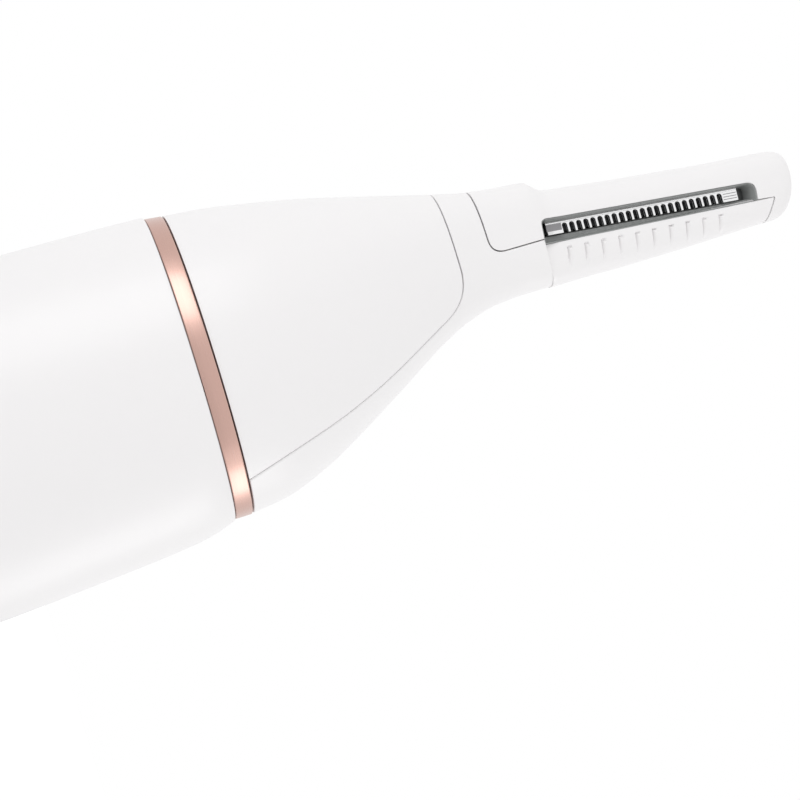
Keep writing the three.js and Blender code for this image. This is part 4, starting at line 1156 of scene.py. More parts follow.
    def comb_guard(self) -> Object:
        """Builds the lower wall of the slot, before its grooves are pressed in."""
        skin = Skin()
        gap = -self.seam / 2
        on = self.guard_surface.turns_at
        run, _, fall = self.arm_path(gap)[2:]
        start = self.step + 0.3 * self.seam
        foot = np.array([self.comb_point(self.slot_high, -self.slot_fall[1]),
                         self.comb_point(self.slot_low - 2 * self.seam, -self.slot_fall[0])])
        foot, run = [until(path, 0, start)[::-1] for path in (foot, run[::-1])]
        closing = self.closing(on, fall)
        tail = 16
        shares = Grooves(self).row_shares(start)
        near = np.vstack([on(evenly(foot, shares)), line(on(foot)[-1], closing[0], tail)[1:]])
        far = np.vstack([on(evenly(run, shares)), line(on(run)[-1], closing[0], tail)[1:]])
        heights = start + (foot[-1, 0] - start) * shares
        spine = np.stack([np.full(len(heights), np.pi), heights], axis=-1)
        back = np.vstack([spine, self.back_line(heights[-1], closing[-1, 1], tail)[1:]])
        across = np.linspace(0, 1, self.columns - 2) ** self.crowding
        for left, mirrored in ((near, False), (far, True)):
            end = evenly(closing, across)
            end[[0, -1]] = closing[[0, -1]]
            grid = coons(evenly(np.array([left[0], (np.pi, start)]), across), end, left, back)
            points = self.wall_points(grid, self.arm_wall, sunk=0.2 * self.seam, plain=True)
            skin.add(*points, mirrored=mirrored)
        return softened(skin.build("comb_guard_skin"), self.edge, weighted=True)

    def build(self) -> None:
        """Builds and dresses the head's moulded parts."""
        fitted(self.front_cover(), Finish.GLOSS, "head", "head_front_cover")
        fitted(self.rear_shell(), Finish.GLOSS, "head", "head_rear_shell")
        fitted(self.arm_cover(), Finish.GLOSS, "head", "arm_cover")
        fitted(smoothed(Grooves(self).press(self.comb_guard())), Finish.GLOSS, "head", "comb_guard")


# Comb


@dataclass
class Grooves:
    """The finger grooves in the comb guard: a notch up each left side and over each top, then a ramp."""

    head: Head
    count: int = 10
    width: float = 0.5 * MM
    depth: float = 0.34 * MM
    wall: float = 0.06 * MM
    corner: float = 0.14 * MM
    length: float = 2.2 * MM
    drop: float = 0.5 * MM
    ramp_power: float = 2.5
    close_start: float = 0.7
    fade_start: float = 0.3
    # Rows of points, as shares of a groove's width and of the pitch
    side_rows: tuple[float, float, int] = (-0.24, 0.4, 11)
    ramp_rows: tuple[float, ...] = (0.6, 0.84, 1.2, 1.8)
    gap_rows: Place = (0.7, 0.85)
    tail_rows: Place = (3, 1.4)

    @property
    def pitch(self) -> float:
        """How far apart the grooves are."""
        return (self.head.comb_length - 2 * self.head.comb_end) / (self.count - 0.45)

    @property
    def first(self) -> float:
        """Where the first groove's left side is, along the comb."""
        return self.head.comb_end + 0.1 * self.pitch - 0.35 * self.width

    def row_shares(self, start: float) -> Array:
        """Returns the places of the guard's rows as shares of the slot's lower edge, closest at the grooves.

        Args:
            start: height of the guard's lower end.
        """
        head = self.head
        drop = head.slot_fall[0] * math.sin(head.comb_slope)
        foot = (start - head.comb_origin[0] + drop) / math.cos(head.comb_slope)
        length = head.slot_high - foot
        shares = np.concatenate([np.linspace(*self.side_rows), self.ramp_rows])
        first = self.first - foot
        grooves = first + self.pitch * np.arange(self.count)[:, None] + shares * self.width
        gaps = first + self.pitch * (np.arange(-1, self.count)[:, None] + self.gap_rows)
        ends = [0, self.width, *[length - share * self.width for share in self.tail_rows], length]
        places = np.concatenate([grooves.ravel(), gaps.ravel(), ends])
        return np.unique(places[(places >= 0) & (places <= length)]) / length

    def press(self, guard: Object) -> Object:
        """Presses the grooves into the comb side of the guard.

        Args:
            guard: the guard, which is replaced.
        """
        head = self.head
        tree = Tree("grooves")
        height, reach = head.comb_origin
        origin = tree.size("Comb origin", Vector((0, -reach, height)))
        along_way = tree.size("Along the comb", Vector((0, -head.along_comb[1], head.along_comb[0])))
        up_way = tree.size("Up the comb", Vector((0, -head.up_comb[1], head.up_comb[0])))
        pitch = tree.size("Pitch", self.pitch)
        first = tree.size("First groove", self.first)
        width = tree.size("Width", self.width)
        wall = tree.size("Width of the wall", self.wall)
        corner = tree.size("Corner", self.corner)
        length = tree.size("Length", self.length)
        fall_low, fall_tip = head.slot_fall
        fall = tree.size("Slot edge at the comb's foot", fall_low + self.drop)
        slope = tree.size("Slope of the slot's edge", (fall_low - fall_tip) / head.comb_length)
        place = tree.add("GeometryNodeInputPosition").outputs[0]
        offset = tree.vector("SUBTRACT", place, origin)
        along = tree.vector("DOT_PRODUCT", offset, along_way, output=1)
        up = tree.vector("DOT_PRODUCT", offset, up_way, output=1)
        count = tree.maths("DIVIDE", tree.less(along, first), pitch)
        number = tree.maths("FLOOR", tree.maths("ADD", count, 0.2))
        last = tree.size("Last groove", self.count - 1.0)
        number = tree.maths("MINIMUM", tree.maths("MAXIMUM", number, 0.0), last)
        left = tree.maths("MULTIPLY_ADD", number, pitch, first)
        beside = tree.less(along, left)
        below = tree.less(tree.less(tree.product(left, slope), fall), up)
        short_side = tree.maths("MAXIMUM", tree.less(corner, beside), 0.0)
        short_top = tree.maths("MAXIMUM", tree.less(corner, below), 0.0)
        squares = tree.maths("MULTIPLY_ADD", short_side, short_side, tree.product(short_top, short_top))
        round_part = tree.less(corner, tree.maths("SQRT", squares))
        straight = tree.maths("MAXIMUM", tree.less(tree.maths("MINIMUM", beside, below), corner), 0.0)
        inside = tree.maths("ADD", round_part, straight)
        rise = tree.mapped(inside, 0.0, wall, 0.0, 1.0, "SMOOTHSTEP")
        ramp = tree.maths("POWER", tree.mapped(inside, wall, width, 1.0, 0.0), self.ramp_power)
        close = tree.mapped(beside, tree.product(width, self.close_start), width, 1.0, 0.0)
        start = tree.product(length, self.fade_start)
        fade = tree.mapped(below, start, length, 1.0, 0.0, "SMOOTHSTEP")
        named = tree.add("GeometryNodeInputNamedAttribute", {"Name": "outside"}, data_type="FLOAT")
        outside = named.outputs[0]
        across = tree.add("ShaderNodeSeparateXYZ", {0: place}).outputs[0]
        side = tree.maths("GREATER_THAN", across, 0.0)
        sunk = tree.product(rise, ramp, close, fade, outside, side)
        push = tree.vector("SCALE", tree.size("Depth", Vector((-self.depth, 0, 0))))
        tree.tree.links.new(sunk, push.node.inputs["Scale"])
        pressed = tree.add("GeometryNodeSetPosition", {"Geometry": tree.own, "Offset": push})
        return tree.result(pressed.outputs[0], guard)


@dataclass
class Comb:
    """The fixed comb with its bead and flange, the moving blade behind it and the bed that carries them; the
    flange, the moving blade and the bed are darkened as painted shade.
    """

    head: Head
    front: float = 1.85 * MM
    thickness: float = 0.4 * MM
    top: float = 0.1 * MM
    flange: float = 0.9 * MM
    flange_round: float = 0.04 * MM
    gap_width: float = 0.46 * MM
    root: float = 0.15 * MM
    nose: float = 0.05 * MM
    ground: float = 0.045 * MM
    honed: float = 0.013 * MM
    lean: float = 0.08
    bead: float = 0.09 * MM
    overlap: float = 0.01 * MM
    # Sizes of the panel and lines of painted shade on the comb's ends
    shade_proud: float = 0.012 * MM
    shade_low: float = 0.74 * MM
    fine_line: float = 0.07 * MM
    fine_lines: tuple[float, ...] = (0.3 * MM, 0.56 * MM, 0.8 * MM)
    blade_gap: float = 0.1 * MM
    blade_thickness: float = 0.35 * MM
    running: float = 0.08 * MM
    bed_low: float = -1.8 * MM
    bed_back: float = -1.6 * MM
    bed_front: float = -0.15 * MM
    bed_clear: float = 0.06 * MM
    ridge_low: float = 0.3 * MM
    ledge: float = 1.3 * MM
    clear: float = 0.04 * MM
    lip: float = 0.07 * MM
    lip_fall: float = 0.02 * MM
    sink: float = 0.16 * MM
    band: float = 0.13 * MM
    throat: tuple[float, float, float] = (0.14 * MM, 0.7 * MM, 0.42 * MM)
    shallow: float = 0.5 * MM
    corner: float = 0.1 * MM
    # Shares of the comb's ends, for the moving blade's start and the painted-shade panel and lines, and of
    # the slot's round
    blade_start: float = 0.55
    panel: float = 1.05
    lined: float = 0.95
    outer_rounds: Place = (1.45, 0.95)
    edge_rounds: Place = (1.35, 0.85)

    @property
    def back(self) -> float:
        """How deep the comb's back is."""
        return self.front - self.thickness

    def at(self, along: Array, up: Array, depth: Array | float) -> Array:
        """Returns points from places along the comb, up from its rail and out from the middle plane."""
        head = self.head
        side = head.comb_origin + np.multiply.outer(along, head.along_comb)
        side = side + np.multiply.outer(up, head.up_comb)
        return np.stack([depth + 0 * side[..., 0], -side[..., 1], side[..., 0]], axis=-1)

    def half_gap_edge(self, middle: float, tip: float) -> Array:
        """Returns the right half of a gap's edge, from its round top down to the next tooth's tip.

        Args:
            middle: place of the gap along the comb.
            tip: how far up the teeth end.
        """
        half = self.gap_width / 2
        nose = self.nose
        bends = np.linspace(np.pi / 2, 0, 8)
        arch = np.stack([middle + half * np.cos(bends), -self.root - half + half * np.sin(bends)], axis=-1)
        side = line(arch[-1], (middle + half, tip + nose), 6)[1:]
        corner = [(middle + half + 0.3 * nose, tip + 0.3 * nose), (middle + half + nose, tip)]
        return np.vstack([arch, side, corner])

    def slab(self, edge: Array, top: float, layers: list[Place]) -> Object:
        """Makes the plate over a lower edge, open at both of its ends.

        Args:
            edge: the lower edge, from left to right.
            top: how far up the plate reaches.
            layers: depths from the back to the front, each with how far the edge is set in there.
        """
        count = len(edge)
        rings = []
        for depth, inset in layers:
            ring = moved(edge, inset)
            ring[[0, -1], 0] = edge[[0, -1], 0]
            ring = np.vstack([ring, [(edge[-1, 0], top), (edge[0, 0], top)]])
            rings.append(self.at(ring[:, 0] - self.lean * np.minimum(ring[:, 1], 0), ring[:, 1], depth))
        size = count + 2
        faces = bands(len(rings), size, [*range(count - 1), count])
        faces.append(list(range(size))[::-1])
        faces.append([(len(rings) - 1) * size + i for i in range(size)])
        return placed("slab", mesh_of("slab", np.vstack(rings), faces))

    def toothed(self, name: str, start: float, top: float, tip: float, back: float, front: float) -> Object:
        """Builds a toothed plate: teeth repeated between two solid ends.

        Args:
            name: the plate's name.
            start: how far from the comb's end the plate begins and ends.
            top: how far up it reaches.
            tip: how far up its teeth end.
            back: depth of its back.
            front: depth of its front.
        """
        head = self.head
        pitch = head.tooth_pitch
        first = head.comb_end + pitch / 2
        layers = [(back, 0.0), (front - self.ground, 0.0)]
        layers += [(front - self.honed, self.honed), (front, self.ground)]
        right = self.half_gap_edge(first, tip)
        left = right[::-1] * [-1, 1]
        tooth = self.slab(np.vstack([right, left + [2 * first + pitch, 0]]), top, layers)
        step = Vector((0, -head.along_comb[1], head.along_comb[0])) * pitch
        teeth = repeated(f"{name}_teeth", tooth, step, head.tooth_gaps - 1)
        inner = left + [2 * first, 0]
        corner = [(start, top), (start, tip + self.nose), (start + self.nose, tip)]
        low_end = np.vstack([corner, line((start + 2 * self.nose, tip), inner[0], 5), inner[1:]])
        tip_end = low_end[::-1] * [-1, 1] + [head.comb_length, 0]
        ends = [self.slab(edge, top, layers) for edge in (low_end, tip_end)]
        return smoothed(merged(joined(name, teeth, *ends)), 35)

    def bar(self, low: float, high: float, section: list[Place]) -> Object:
        """Builds a straight bar along the comb from its section.

        Args:
            low: where it begins.
            high: where it ends.
            section: places up from the rail and out from the middle plane, in order.
        """
        ups, depths = np.array(section).T
        return prism("bar", [self.at(np.full(len(ups), along), ups, depths) for along in (low, high)])

    def block(self, ends: Place, ups: Place, depths: Place) -> Object:
        """Builds a square bar between places along the comb, up from its rail and out from the middle."""
        (bottom, top), (back, front) = ups, depths
        return self.bar(*ends, [(bottom, back), (top, back), (top, front), (bottom, front)])

    def comb(self) -> Object:
        """Builds the comb: its teeth and the bright bead over them."""
        plate = self.toothed("comb_plate", 0.0, self.top, -self.head.tooth_length, self.back, self.front)
        middle = self.front - self.overlap
        section = [(self.bead * math.sin(b), middle + 0.7 * self.bead * math.cos(b))
                   for b in np.linspace(-np.pi / 2, np.pi / 2, 9)]
        return smoothed(joined("comb_fine", plate, self.bar(0, self.head.comb_length, section)), 35)

    def comb_flange(self) -> Object:
        """Builds the comb's flange, which runs up behind the edge of the slot, with the bars of painted shade
        on the comb's ends; its darkened steel is painted shade.
        """
        face = self.front - self.sink + self.overlap
        low = self.top + self.flange_round
        section = [(self.top, self.back), (self.flange, self.back), (self.flange, face)]
        section += [(self.ridge_low, face), (low, self.front - 3 * self.overlap)]
        section += [(self.top, self.front - 2 * self.overlap)]
        flange = self.bar(0, self.head.comb_length, section)
        return smoothed(joined("comb_flange", flange, *self.painted_shade_bars()), 30)

    def painted_shade_bars(self) -> list[Object]:
        """Builds the painted shade on the comb's ends: a dark panel on its lower end and dark lines across
        its tip end.
        """
        tip_end = self.head.comb_length
        end = self.head.comb_end
        depths = (self.front - self.overlap, self.front + self.shade_proud)
        painted_shade_bars = [self.block((2 * self.overlap, self.panel * end), (-self.shade_low, -self.top), depths)]
        for low in self.fine_lines:
            ups = (-low - self.fine_line / 2, -low + self.fine_line / 2)
            painted_shade_bars.append(self.block((tip_end - self.lined * end, tip_end - self.nose), ups, depths))
        return painted_shade_bars

    def loop(self, ends: Place, bottom: Place, top: Place, radii: list[float]) -> Array:
        """Returns points round the slot, with as many on each side of every loop.

        Args:
            ends: places of its ends along the comb.
            bottom: how far up its lower edge is at each end.
            top: how far up its upper edge is at each end.
            radii: where its rounds begin, from the tip end's lower corner on.
        """
        place = self.head.comb_point
        low, high = ends
        middle = place((low + high) / 2, sum(bottom) / 2)
        tip_side = [place(high, bottom[1]), place(high, top[1])]
        foot_side = [place(low, top[0]), place(low, bottom[0])]
        parts = stretches(*rounded_path([middle, *tip_side, *foot_side, middle], radii))
        counts = (120, 60, 240, 60, 120)
        return np.vstack([evenly(part, count + 1)[:-1] for part, count in zip(parts, counts)])

    def bezel(self) -> Object:
        """Builds a grey lining of painted shade over the slot's walls, which narrows from the arm's surface
        down to the blades.
        """
        head = self.head
        low, high = head.slot_low + self.clear, head.slot_high - self.clear
        bottom = [self.clear - fall for fall in head.slot_fall]
        top = [rise - self.clear for rise in head.slot_rise]
        corner, lip = self.corner, self.lip
        large = [share * head.slot_round for share in self.outer_rounds]
        outer = self.loop((low, high), bottom, top, [corner, *large, corner])
        lower, upper = [up + lip for up in bottom], [up - lip for up in top]
        large = [share * head.slot_round for share in self.edge_rounds]
        edge = self.loop((low + lip, high - lip), lower, upper, [corner, *large, corner])
        at_foot, at_tip, below = self.throat
        lower, upper = [up + below for up in bottom], (self.band, self.band)
        radii = [3 * corner, 5 * corner, 3 * corner, 3 * corner]
        inner = self.loop((low + at_foot, high - at_tip), lower, upper, radii)
        offset = inner - head.comb_origin
        along = offset @ head.along_comb
        over = (along > -1.5 * corner) & (along < head.comb_length + corner)
        over &= offset @ head.up_comb > -2 * corner
        deep = np.where(over, self.front + 3 * self.overlap, self.shallow)
        reach = head.surface.side_at(outer) - self.sink
        levels = ((outer, deep), (outer, reach), (edge, reach - self.lip_fall), (inner, deep))
        rings = [np.stack([depth, -side[:, 1], side[:, 0]], axis=-1) for side, depth in levels]
        return solid("bezel", np.vstack(rings), bands(len(rings), len(outer), closed=True))

    def bed(self) -> Object:
        """Builds the bed under the blades: its floor, the ledge under the teeth, the ridge and the lining of
        painted shade over the slot's walls.
        """
        ends = (self.head.slot_low + self.bed_clear, self.head.slot_high - self.bed_clear)
        floor = self.block(ends, (self.bed_low, self.flange), (self.bed_back, self.bed_front))
        under = (self.bed_low, -self.head.tooth_length - self.running)
        ledge = self.block(ends, under, (self.bed_front + self.overlap, self.ledge))
        behind = (self.bed_front - self.nose, self.back - self.overlap)
        ridge = self.block((0, self.head.comb_length), (self.ridge_low, self.flange), behind)
        return smoothed(joined("blade_seat_fine", floor, ledge, ridge, self.bezel()), 35)

    def build(self) -> None:
        """Builds and dresses the comb, the moving blade and their bed."""
        head = self.head
        front = self.back - self.blade_gap
        fitted(self.comb(), Finish.BLADE, "head", "comb_blade")
        fitted(self.comb_flange(), Finish.FLANGE, "head", "comb_blade")
        fitted(self.bed(), Finish.BED, "head", "blade_seat")
        start, tip = self.blade_start * head.comb_end, self.running - head.tooth_length
        back = front - self.blade_thickness
        blade = self.toothed("moving_blade_fine", start, self.root, tip, back, front)
        # The moving blade wears the darkened steel of painted shade
        fitted(blade, Finish.MOVING, "blade", "moving_blade")


# Grip


def stadium_depth(across: Array, along: Array, half_width: float, half_length: float) -> Array:
    """Returns how far points lie inside a stadium, below zero outside it.

    Args:
        across: places across it from its middle.
        along: places along it from its middle.
        half_width: its half width and the radius of its ends.
        half_length: its half length.
    """
    beyond = np.maximum(np.abs(along) - (half_length - half_width), 0)
    return half_width - np.hypot(across, beyond)


def turned(name: str, loft: Loft, profile: list[Place], sides: int, closed: bool) -> Object:
    """Sweeps a profile round a body.

    Args:
        name: the object's name.
        loft: the body.
        profile: heights and insets, in order.
        sides: points in each ring.
        closed: whether the profile meets itself; otherwise its ends are closed on the axis.
    """
    turns = np.linspace(0, 2 * np.pi, sides, endpoint=False)
    rows = np.array(profile)
    rings = loft.points(turns[None, :], rows[:, :1], rows[:, 1:])
    points = rings.reshape(-1, 3)
    count = len(profile)
    faces = bands(count, sides, closed=closed)
    if not closed:
        points = np.vstack([points, rings[0].mean(axis=0), rings[-1].mean(axis=0)])
        for side in range(sides):
            beside = (side + 1) % sides
            faces.append([count * sides, beside, side])
            faces.append([count * sides + 1, (count - 1) * sides + side, (count - 1) * sides + beside])
    return smoothed(solid(name, points, faces), 30)


def rounded_profile(corners: list[Place], radii: list[float], closed: bool) -> list[Place]:
    """Rounds the corners of a profile, each by its own radius."""
    points = [np.array(c) for c in corners]
    profile = []
    for i, (corner, radius) in enumerate(zip(points, radii)):
        end = not closed and i in (0, len(points) - 1)
        if radius == 0 or end:
            profile.append(tuple(corner))
            continue
        after = points[(i + 1) % len(points)]
        profile += [tuple(p) for p in bend(points[i - 1], corner, after, radius, np.linspace(0, 1, 5))]
    return profile


@dataclass
class Grip:
    """The handle: its casing, the trim ring on top, the switch knob and the battery cap as its base."""

    length: float
    ring_top: float
    half_width: float
    half_depth: float
    wall: float = 1.6 * MM
    parting: float = 0.15 * MM
    ring_gap: float = 0.05 * MM
    seat: float = 0.3 * MM
    cap_length: float = 16 * MM
    cap_floor: float = 1.8 * MM
    spigot: float = 3 * MM
    plate: float = 1.5 * MM
    tray_wall: float = 1.3 * MM
    tray_ease: float = 0.08 * MM
    seal_band: float = 1 * MM
    knob_middle: float = 68.02 * MM
    knob_travel: float = 4 * MM
    knob_length: float = 13 * MM
    knob_width: float = 8 * MM
    knob_proud: float = 0.8 * MM
    knob_sink: float = 0.7 * MM
    stem_front: float = 12.1 * MM
    window_share: float = 0.22
    recess_edge: Place = (-0.1 * MM, 0.3 * MM)
    recess_around: float = 0.6 * MM
    # The knob's rim: insets in millimetres, each with its share of the knob's rise
    rim: tuple[Place, ...] = ((0, 0.45), (0.04, 0.62), (0.12, 0.78), (0.26, 0.91), (0.45, 0.98))
    dish: float = 0.16
    rib_count: int = 5
    rib_pitch: float = 0.13
    rib_reach: float = 0.33
    rib_half: float = 0.3
    rib_foot: float = 0.84
    rib_rise: float = 0.46 * MM
    rib_sink: float = 0.1 * MM
    cell: float = 0.13 * MM
    cells_across: int = 38
    knob_sides: int = 96
    stem_sides: int = 48
    cap_sides: int = 192
    ring_sides: int = 256
    edge: float = 0.14 * MM
    ring_edge: float = 0.1 * MM
    foot_middle: float = 3 * MM
    shoulder: float = 14 * MM
    floor_middle: float = 6 * MM
    # Heights of the cap's rows of points, in millimetres
    foot_heights: tuple[float, ...] = (0.03, 0.08, 0.16, 0.27, 0.4, 0.6, 0.9, 1.3, 2, 4, 7, 10, 13)

    def __post_init__(self) -> None:
        """Works out the body of the handle and of the ring."""
        shares = [
            (0, 0.755, 0.815, 0.755, 2.2),
            (0.004, 0.790, 0.850, 0.790, 2.2),
            (0.013, 0.810, 0.870, 0.810, 2.2),
            (0.16, 0.885, 0.955, 0.885, 2.2),
            (0.36, 0.945, 1.050, 0.935, 2.2),
            (0.56, 1.002, 1.150, 0.985, 2.2),
            (0.74, 1.032, 1.180, 1.018, 2.2),
            (0.87, 1.032, 1.132, 1.020, 2.15),
            (0.955, 1.023, 1.083, 1.010, 2.1),
            (0.98, 1.018, 1.053, 1.006, 2.1),
            (1, 1.012, 1.004, 1, 2.1),
        ]
        width = self.half_width
        self.surface = Loft([Station(h * self.length, f * width, b * width, w * self.half_depth, square)
                             for h, f, b, w, square in shares])
        self.ring = Loft([Station(self.length, width, width, self.half_depth, 2.1),
                          Station(self.ring_top, 0.988 * width, width, self.half_depth, 2.1)])
        self.recess_middle = self.knob_middle + self.knob_travel / 2
        self.recess_half_width = self.knob_width / 2 + self.seat
        self.recess_half_length = (self.knob_length + self.knob_travel) / 2 + self.seat
        self.window_half_length = self.knob_travel + self.seat / 2

    def casing(self) -> Object:
        """Builds the tube of the handle, with the recess and the window of the knob."""
        low = self.cap_length + self.parting
        high = self.length - self.ring_gap
        middle = self.recess_middle
        cells = math.ceil((self.recess_half_length + self.recess_around) / self.cell)
        fine = middle + self.cell * np.arange(-cells, cells + 1)
        below, above = np.linspace(low, fine[0], 48)[:-1], np.linspace(fine[-1], high, 24)[1:]
        near = self.cell / self.half_depth * np.arange(-self.cells_across, self.cells_across + 1)
        beyond = np.linspace(near[-1], np.pi, self.cells_across)[1:]
        around = np.concatenate([-beyond[::-1], near, beyond])
        across, up = np.meshgrid(around, np.concatenate([below, fine, above]))
        x = self.surface.points(across, up)[..., 0]
        inside = stadium_depth(x, up - middle, self.recess_half_width, self.recess_half_length)
        ahead = np.abs(across) < np.pi / 2
        sunk = self.knob_sink * eased(inside, *self.recess_edge) * ahead
        gone = ahead & (np.abs(x) < self.window_share * self.knob_width)
        gone &= np.abs(up - middle) < self.window_half_length
        skin = Skin()
        skin.add(*[self.surface.points(across, up, inset) for inset in (sunk, self.wall)], gone=gone)
        return smoothed(softened(skin.build("grip_casing_skin"), self.edge, weighted=True), 35)

    @staticmethod
    def stadium(half_width: float, half_length: float, count: int) -> Array:
        """Returns points round a stadium, as places across and along it."""
        turns = (np.arange(count) + 0.5) * 2 * np.pi / count
        lift = np.where(np.sin(turns) > 0, 1, -1) * (half_length - half_width)
        return np.stack([half_width * np.cos(turns), half_width * np.sin(turns) + lift], axis=-1)

    def knob(self) -> Object:
        """Builds the knob: a soft-edged pad that follows the handle, with ribs, on a stem."""
        half = self.knob_width / 2
        long = self.knob_length / 2
        top = self.knob_proud
        under = self.parting - self.knob_sink
        dish = [(0.7 + 0.3 * k, 1 - self.dish * math.sin(math.pi * k / 22)) for k in range(11)]
        steps = [(0, under)] + [(across * MM, share * top) for across, share in [*self.rim, *dish]]
        rings = []
        for inset, level in steps:
            outline = self.stadium(half - inset, long - inset, self.knob_sides)
            reach = self.surface.front_at(outline[:, 0], self.knob_middle + outline[:, 1]) + level
            rings.append(np.stack([outline[:, 0], -reach, self.knob_middle + outline[:, 1]], axis=-1))
        low = self.spine(rings[0])
        low[:, 1] = -(self.surface.front_at(low[:, 0], rings[0][:, 2]) + under)
        stack = [low, *rings, self.spine(rings[-1])]
        pad = solid("pad", np.vstack(stack), bands(len(stack), self.knob_sides))
        return smoothed(joined("switch_knob_fine", pad, self.ribs(), self.stem()))

    def stem(self) -> Object:
        """Builds the knob's stem, a bar with round sides through the window."""
        half = self.window_share * self.knob_width - self.seat
        outline = self.stadium(half, self.knob_travel / 2, self.stem_sides)
        across, up = outline[:, 0], self.knob_middle + outline[:, 1]
        ends = [np.full(len(up), -reach) for reach in (self.stem_front, self.half_width)]
        return prism("stem", [np.stack([across, end, up], axis=-1) for end in ends])

    def spine(self, ring: Array) -> Array:
        """Returns a ring of the knob drawn together onto the line up its middle."""
        ends = (self.knob_length - self.knob_width) / 2
        heights = np.clip(ring[:, 2], self.knob_middle - ends, self.knob_middle + ends)
        return np.stack([0 * heights, ring[:, 1], heights], axis=-1)

    def ribs(self) -> Object:
        """Builds the knob's ribs, repeated up the knob."""
        pitch = self.rib_pitch * self.knob_length
        first = self.knob_middle - (self.rib_count - 1) / 2 * pitch
        reach = self.rib_reach * self.knob_width
        half = self.rib_half * pitch
        count = 25
        across = np.linspace(-reach, reach, count)
        fade = np.sqrt(np.clip(1 - (np.abs(across) / reach) ** 6, 0.02, 1))
        middle = self.surface.front_at(across, np.full(count, self.knob_middle))
        base = middle + self.rib_foot * self.knob_proud - self.rib_sink
        rows = []
        for turn in np.linspace(0, np.pi, 9):
            reached = base + self.rib_rise * fade * math.sin(turn) ** 0.8
            rows.append(np.stack([across, -reached, first + half * fade * math.cos(turn)], axis=-1))
        rows.append(np.stack([across, 2 * self.rib_sink - base, np.full(count, first)], axis=-1))
        faces = bands(len(rows), count, range(count - 1), closed=True)
        left = [row * count for row in range(len(rows))]
        faces += [left, [corner + count - 1 for corner in reversed(left)]]
        rib = solid("rib", np.vstack(rows), faces)
        return repeated("ribs", rib, Vector((0, 0, pitch)), self.rib_count)

    def cap(self) -> Object:
        """Builds the battery cap, its spigot and the groove of its seal."""
        sink = self.wall + self.seat
        inner = sink + self.tray_wall - self.tray_ease
        seal = self.cap_length + 0.35 * self.spigot
        groove = sink + self.seal_band / 2
        top = self.cap_length + self.spigot
        foot = [(0, self.foot_middle), (0, 0)] + [(height * MM, 0) for height in self.foot_heights]
        seal_top = seal + self.seal_band
        corners = [(self.shoulder, 0), (self.cap_length, 0), (self.cap_length, sink), (seal, sink),
                   (seal, groove), (seal_top, groove), (seal_top, sink), (top, sink), (top, inner),
                   (self.cap_floor, inner), (self.cap_floor, self.floor_middle)]
        rounds = [radius * self.ring_edge for radius in (0, 1.2, 0, 0.5, 0, 0, 0.5, 2, 1, 0, 0)]
        profile = foot + rounded_profile(corners, rounds, closed=False)
        return turned("battery_cap_fine", self.surface, profile, self.cap_sides, closed=False)

    def trim_ring(self) -> Object:
        """Builds the plated ring, with the finest rounds on its edges."""
        inner = self.wall + self.plate
        corners = [(self.length, 0), (self.ring_top, 0), (self.ring_top, inner), (self.length, inner)]
        profile = rounded_profile(corners, [self.ring_edge, self.ring_edge, 0, 0], closed=True)
        return turned("trim_ring_fine", self.ring, profile, self.ring_sides, closed=True)

    def build(self) -> None:
        """Builds and dresses the handle's outside."""
        fitted(self.casing(), Finish.GLOSS, "grip", "grip_casing")
        fitted(self.trim_ring(), Finish.ROSE, "grip", "trim_ring")
        fitted(self.knob(), Finish.GLOSS, "switch_slider", "switch_knob")
        fitted(self.cap(), Finish.GLOSS, "cap", "battery_cap")


# Studio


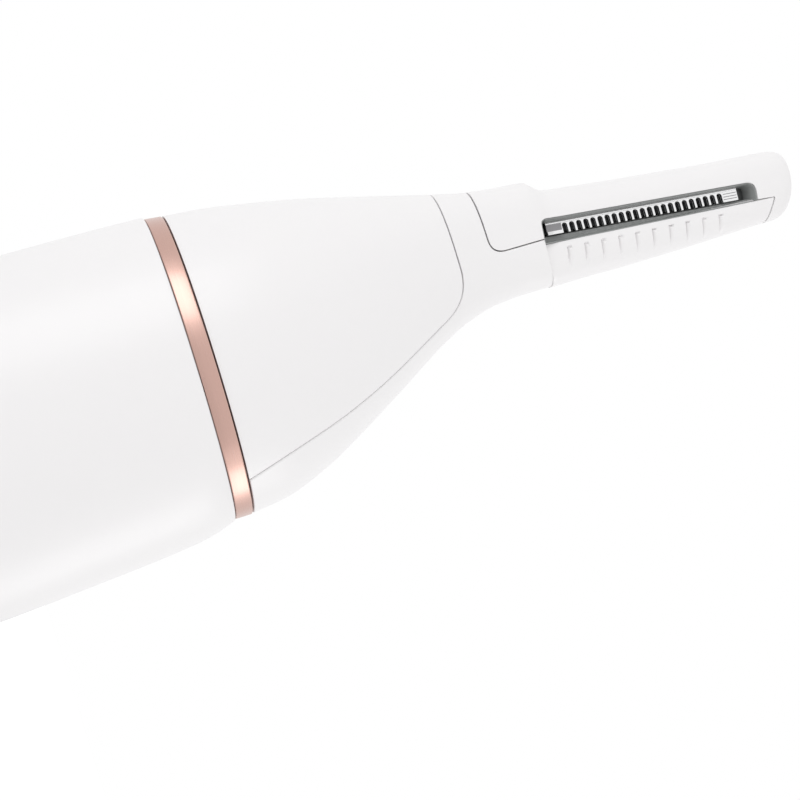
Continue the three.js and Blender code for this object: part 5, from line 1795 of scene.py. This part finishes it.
@dataclass
class Studio:
    """The floor, the soft lights and the camera.

    The image, the focus and the target's place in it are in pixels, the lens and the sensor in millimetres.
    """

    lens: float = 90.0
    tilt: float = math.radians(9.0)
    roll: float = math.radians(17.2)
    distance: float = 179.5 * MM
    image: float = 800.0
    focus: float = 2000.0
    target: float = 99.95 * MM
    target_pixel: Place = (199.0, 367.0)
    sensor: float = 36.0
    near: float = 5 * MM
    level: float = 0.85
    lamp_distance: float = 0.6
    floor_half: float = 2.0
    floor_shade: float = 0.92
    floor_roughness: float = 0.9

    def camera(self) -> None:
        """Places the camera where the photograph was taken from."""
        t, r = self.tilt, self.roll
        right = Vector((math.sin(t) * math.cos(r), math.sin(r), math.cos(t) * math.cos(r)))
        up = Vector((math.sin(t) * math.sin(r), -math.cos(r), math.cos(t) * math.sin(r)))
        back = Vector((math.cos(t), 0, -math.sin(t)))
        turn = Matrix((right, up, back)).transposed()
        column, row = self.target_pixel
        middle = self.image / 2
        seen = Vector(((column - middle) / self.focus, (middle - row) / self.focus, -1)) * self.distance
        data = bpy.data.cameras.new("camera")
        data.lens = self.lens
        data.sensor_width = self.sensor
        data.sensor_fit = "HORIZONTAL"
        data.clip_start = self.near
        camera = bpy.data.objects.new("camera", data)
        bpy.context.scene.collection.objects.link(camera)
        camera.matrix_world = Matrix.Translation(Vector((0, 0, self.target)) - turn @ seen) @ turn.to_4x4()
        bpy.context.scene.camera = camera

    def world(self) -> None:
        """Lights the part evenly from all sides, in front of white."""
        world = bpy.data.worlds.new("world")
        bpy.context.scene.world = world
        world.use_nodes = True
        nodes = Nodes(world.node_tree)
        ground = world.node_tree.nodes["Background"]
        path = nodes.add("ShaderNodeLightPath")
        seen = nodes.maths("MAXIMUM", path.outputs["Is Camera Ray"], path.outputs["Is Glossy Ray"])
        seen = nodes.maths("MAXIMUM", seen, path.outputs["Is Transmission Ray"])
        strength = nodes.mapped(seen, 0.0, 1.0, self.level, 1.0)
        nodes.feed(ground, {"Strength": strength, "Color": (1, 1, 1, 1)})

    def lamp(self, name: str, azimuth: float, rise: float, spread: Place, radiance: float) -> None:
        """Adds a soft lamp that the camera doesn't see, pointed at the ring.

        Args:
            name: its name.
            azimuth: its direction about +Z, in degrees from +X.
            rise: its direction over the level of the ring, in degrees.
            spread: its width and height as seen from the ring, in degrees.
            radiance: its brightness, where 1 is white.
        """
        turn, lift = math.radians(azimuth), math.radians(rise)
        way = Vector((math.cos(turn) * math.cos(lift), math.sin(turn) * math.cos(lift), math.sin(lift)))
        data = bpy.data.lights.new(name, "AREA")
        data.shape = "RECTANGLE"
        data.size, data.size_y = [2 * self.lamp_distance * math.tan(math.radians(s) / 2) for s in spread]
        data.energy = radiance * math.pi * data.size * data.size_y
        lamp = bpy.data.objects.new(name, data)
        bpy.context.scene.collection.objects.link(lamp)
        lamp.location = Vector((0, 0, self.target)) + way * self.lamp_distance
        lamp.rotation_euler = (-way).to_track_quat("-Z", "Y").to_euler()
        lamp.visible_camera = False

    def floor(self) -> None:
        """Lays a pale floor that keeps the part's shadow."""
        bm = bmesh.new()
        bmesh.ops.create_grid(bm, x_segments=2, y_segments=2, size=self.floor_half)
        mesh = bpy.data.meshes.new("floor")
        bm.to_mesh(mesh)
        bm.free()
        floor = placed("floor", mesh)
        material = bpy.data.materials.new("pale_floor")
        material.use_nodes = True
        nodes = Nodes(material.node_tree)
        shader = material.node_tree.nodes["Principled BSDF"]
        seen = nodes.add("ShaderNodeLightPath").outputs["Is Camera Ray"]
        nodes.feed(shader, {
            "Base Color": (self.floor_shade, self.floor_shade, self.floor_shade, 1),
            "Roughness": self.floor_roughness,
            "Emission Color": (1, 1, 1, 1),
            "Emission Strength": nodes.product(seen, 1.05 - self.floor_shade * self.level),
        })
        mesh.materials.append(material)

    def build(self) -> None:
        """Sets up the whole studio."""
        bpy.context.scene.view_settings.view_transform = "Standard"
        self.camera()
        self.world()
        self.floor()
        self.lamp("front_lamp", -45, 4, (35, 22), 1.6)
        self.lamp("front_glow", -47, 4, (58, 26), 0.3)
        self.lamp("back_lamp", 94, 4, (30, 20), 1.45)
        self.lamp("back_glow", 90, 4, (62, 26), 0.35)


def main() -> None:
    """Builds the studio and the sub-assemblies in order."""
    logging.basicConfig(level=logging.INFO, format="%(message)s")
    Studio().build()
    ring_low, ring_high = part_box("trim_ring")
    head = Head(half_width=ring_high[1], half_depth=ring_high[0], base=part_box("head_front_cover")[0][2])
    head.build()
    Comb(head).build()
    Grip(length=ring_low[2], ring_top=ring_high[2], half_width=ring_high[1], half_depth=ring_high[0]).build()
    built = {"head_front_cover", "head_rear_shell", "arm_cover", "comb_guard", "comb_blade", "moving_blade",
             "blade_seat", "grip_casing", "trim_ring", "switch_knob", "battery_cap"}
    bodies = {node: body for body, row in frame["record"]["behaviour"]["bodies"].items() for node in row}
    for row in frame["record"]["subparts"]:
        if row["node"] not in built:
            finished_copy(row["node"], Finish(row["material_slot"]), bodies[row["node"]])


if __name__ == "__main__":
    main()
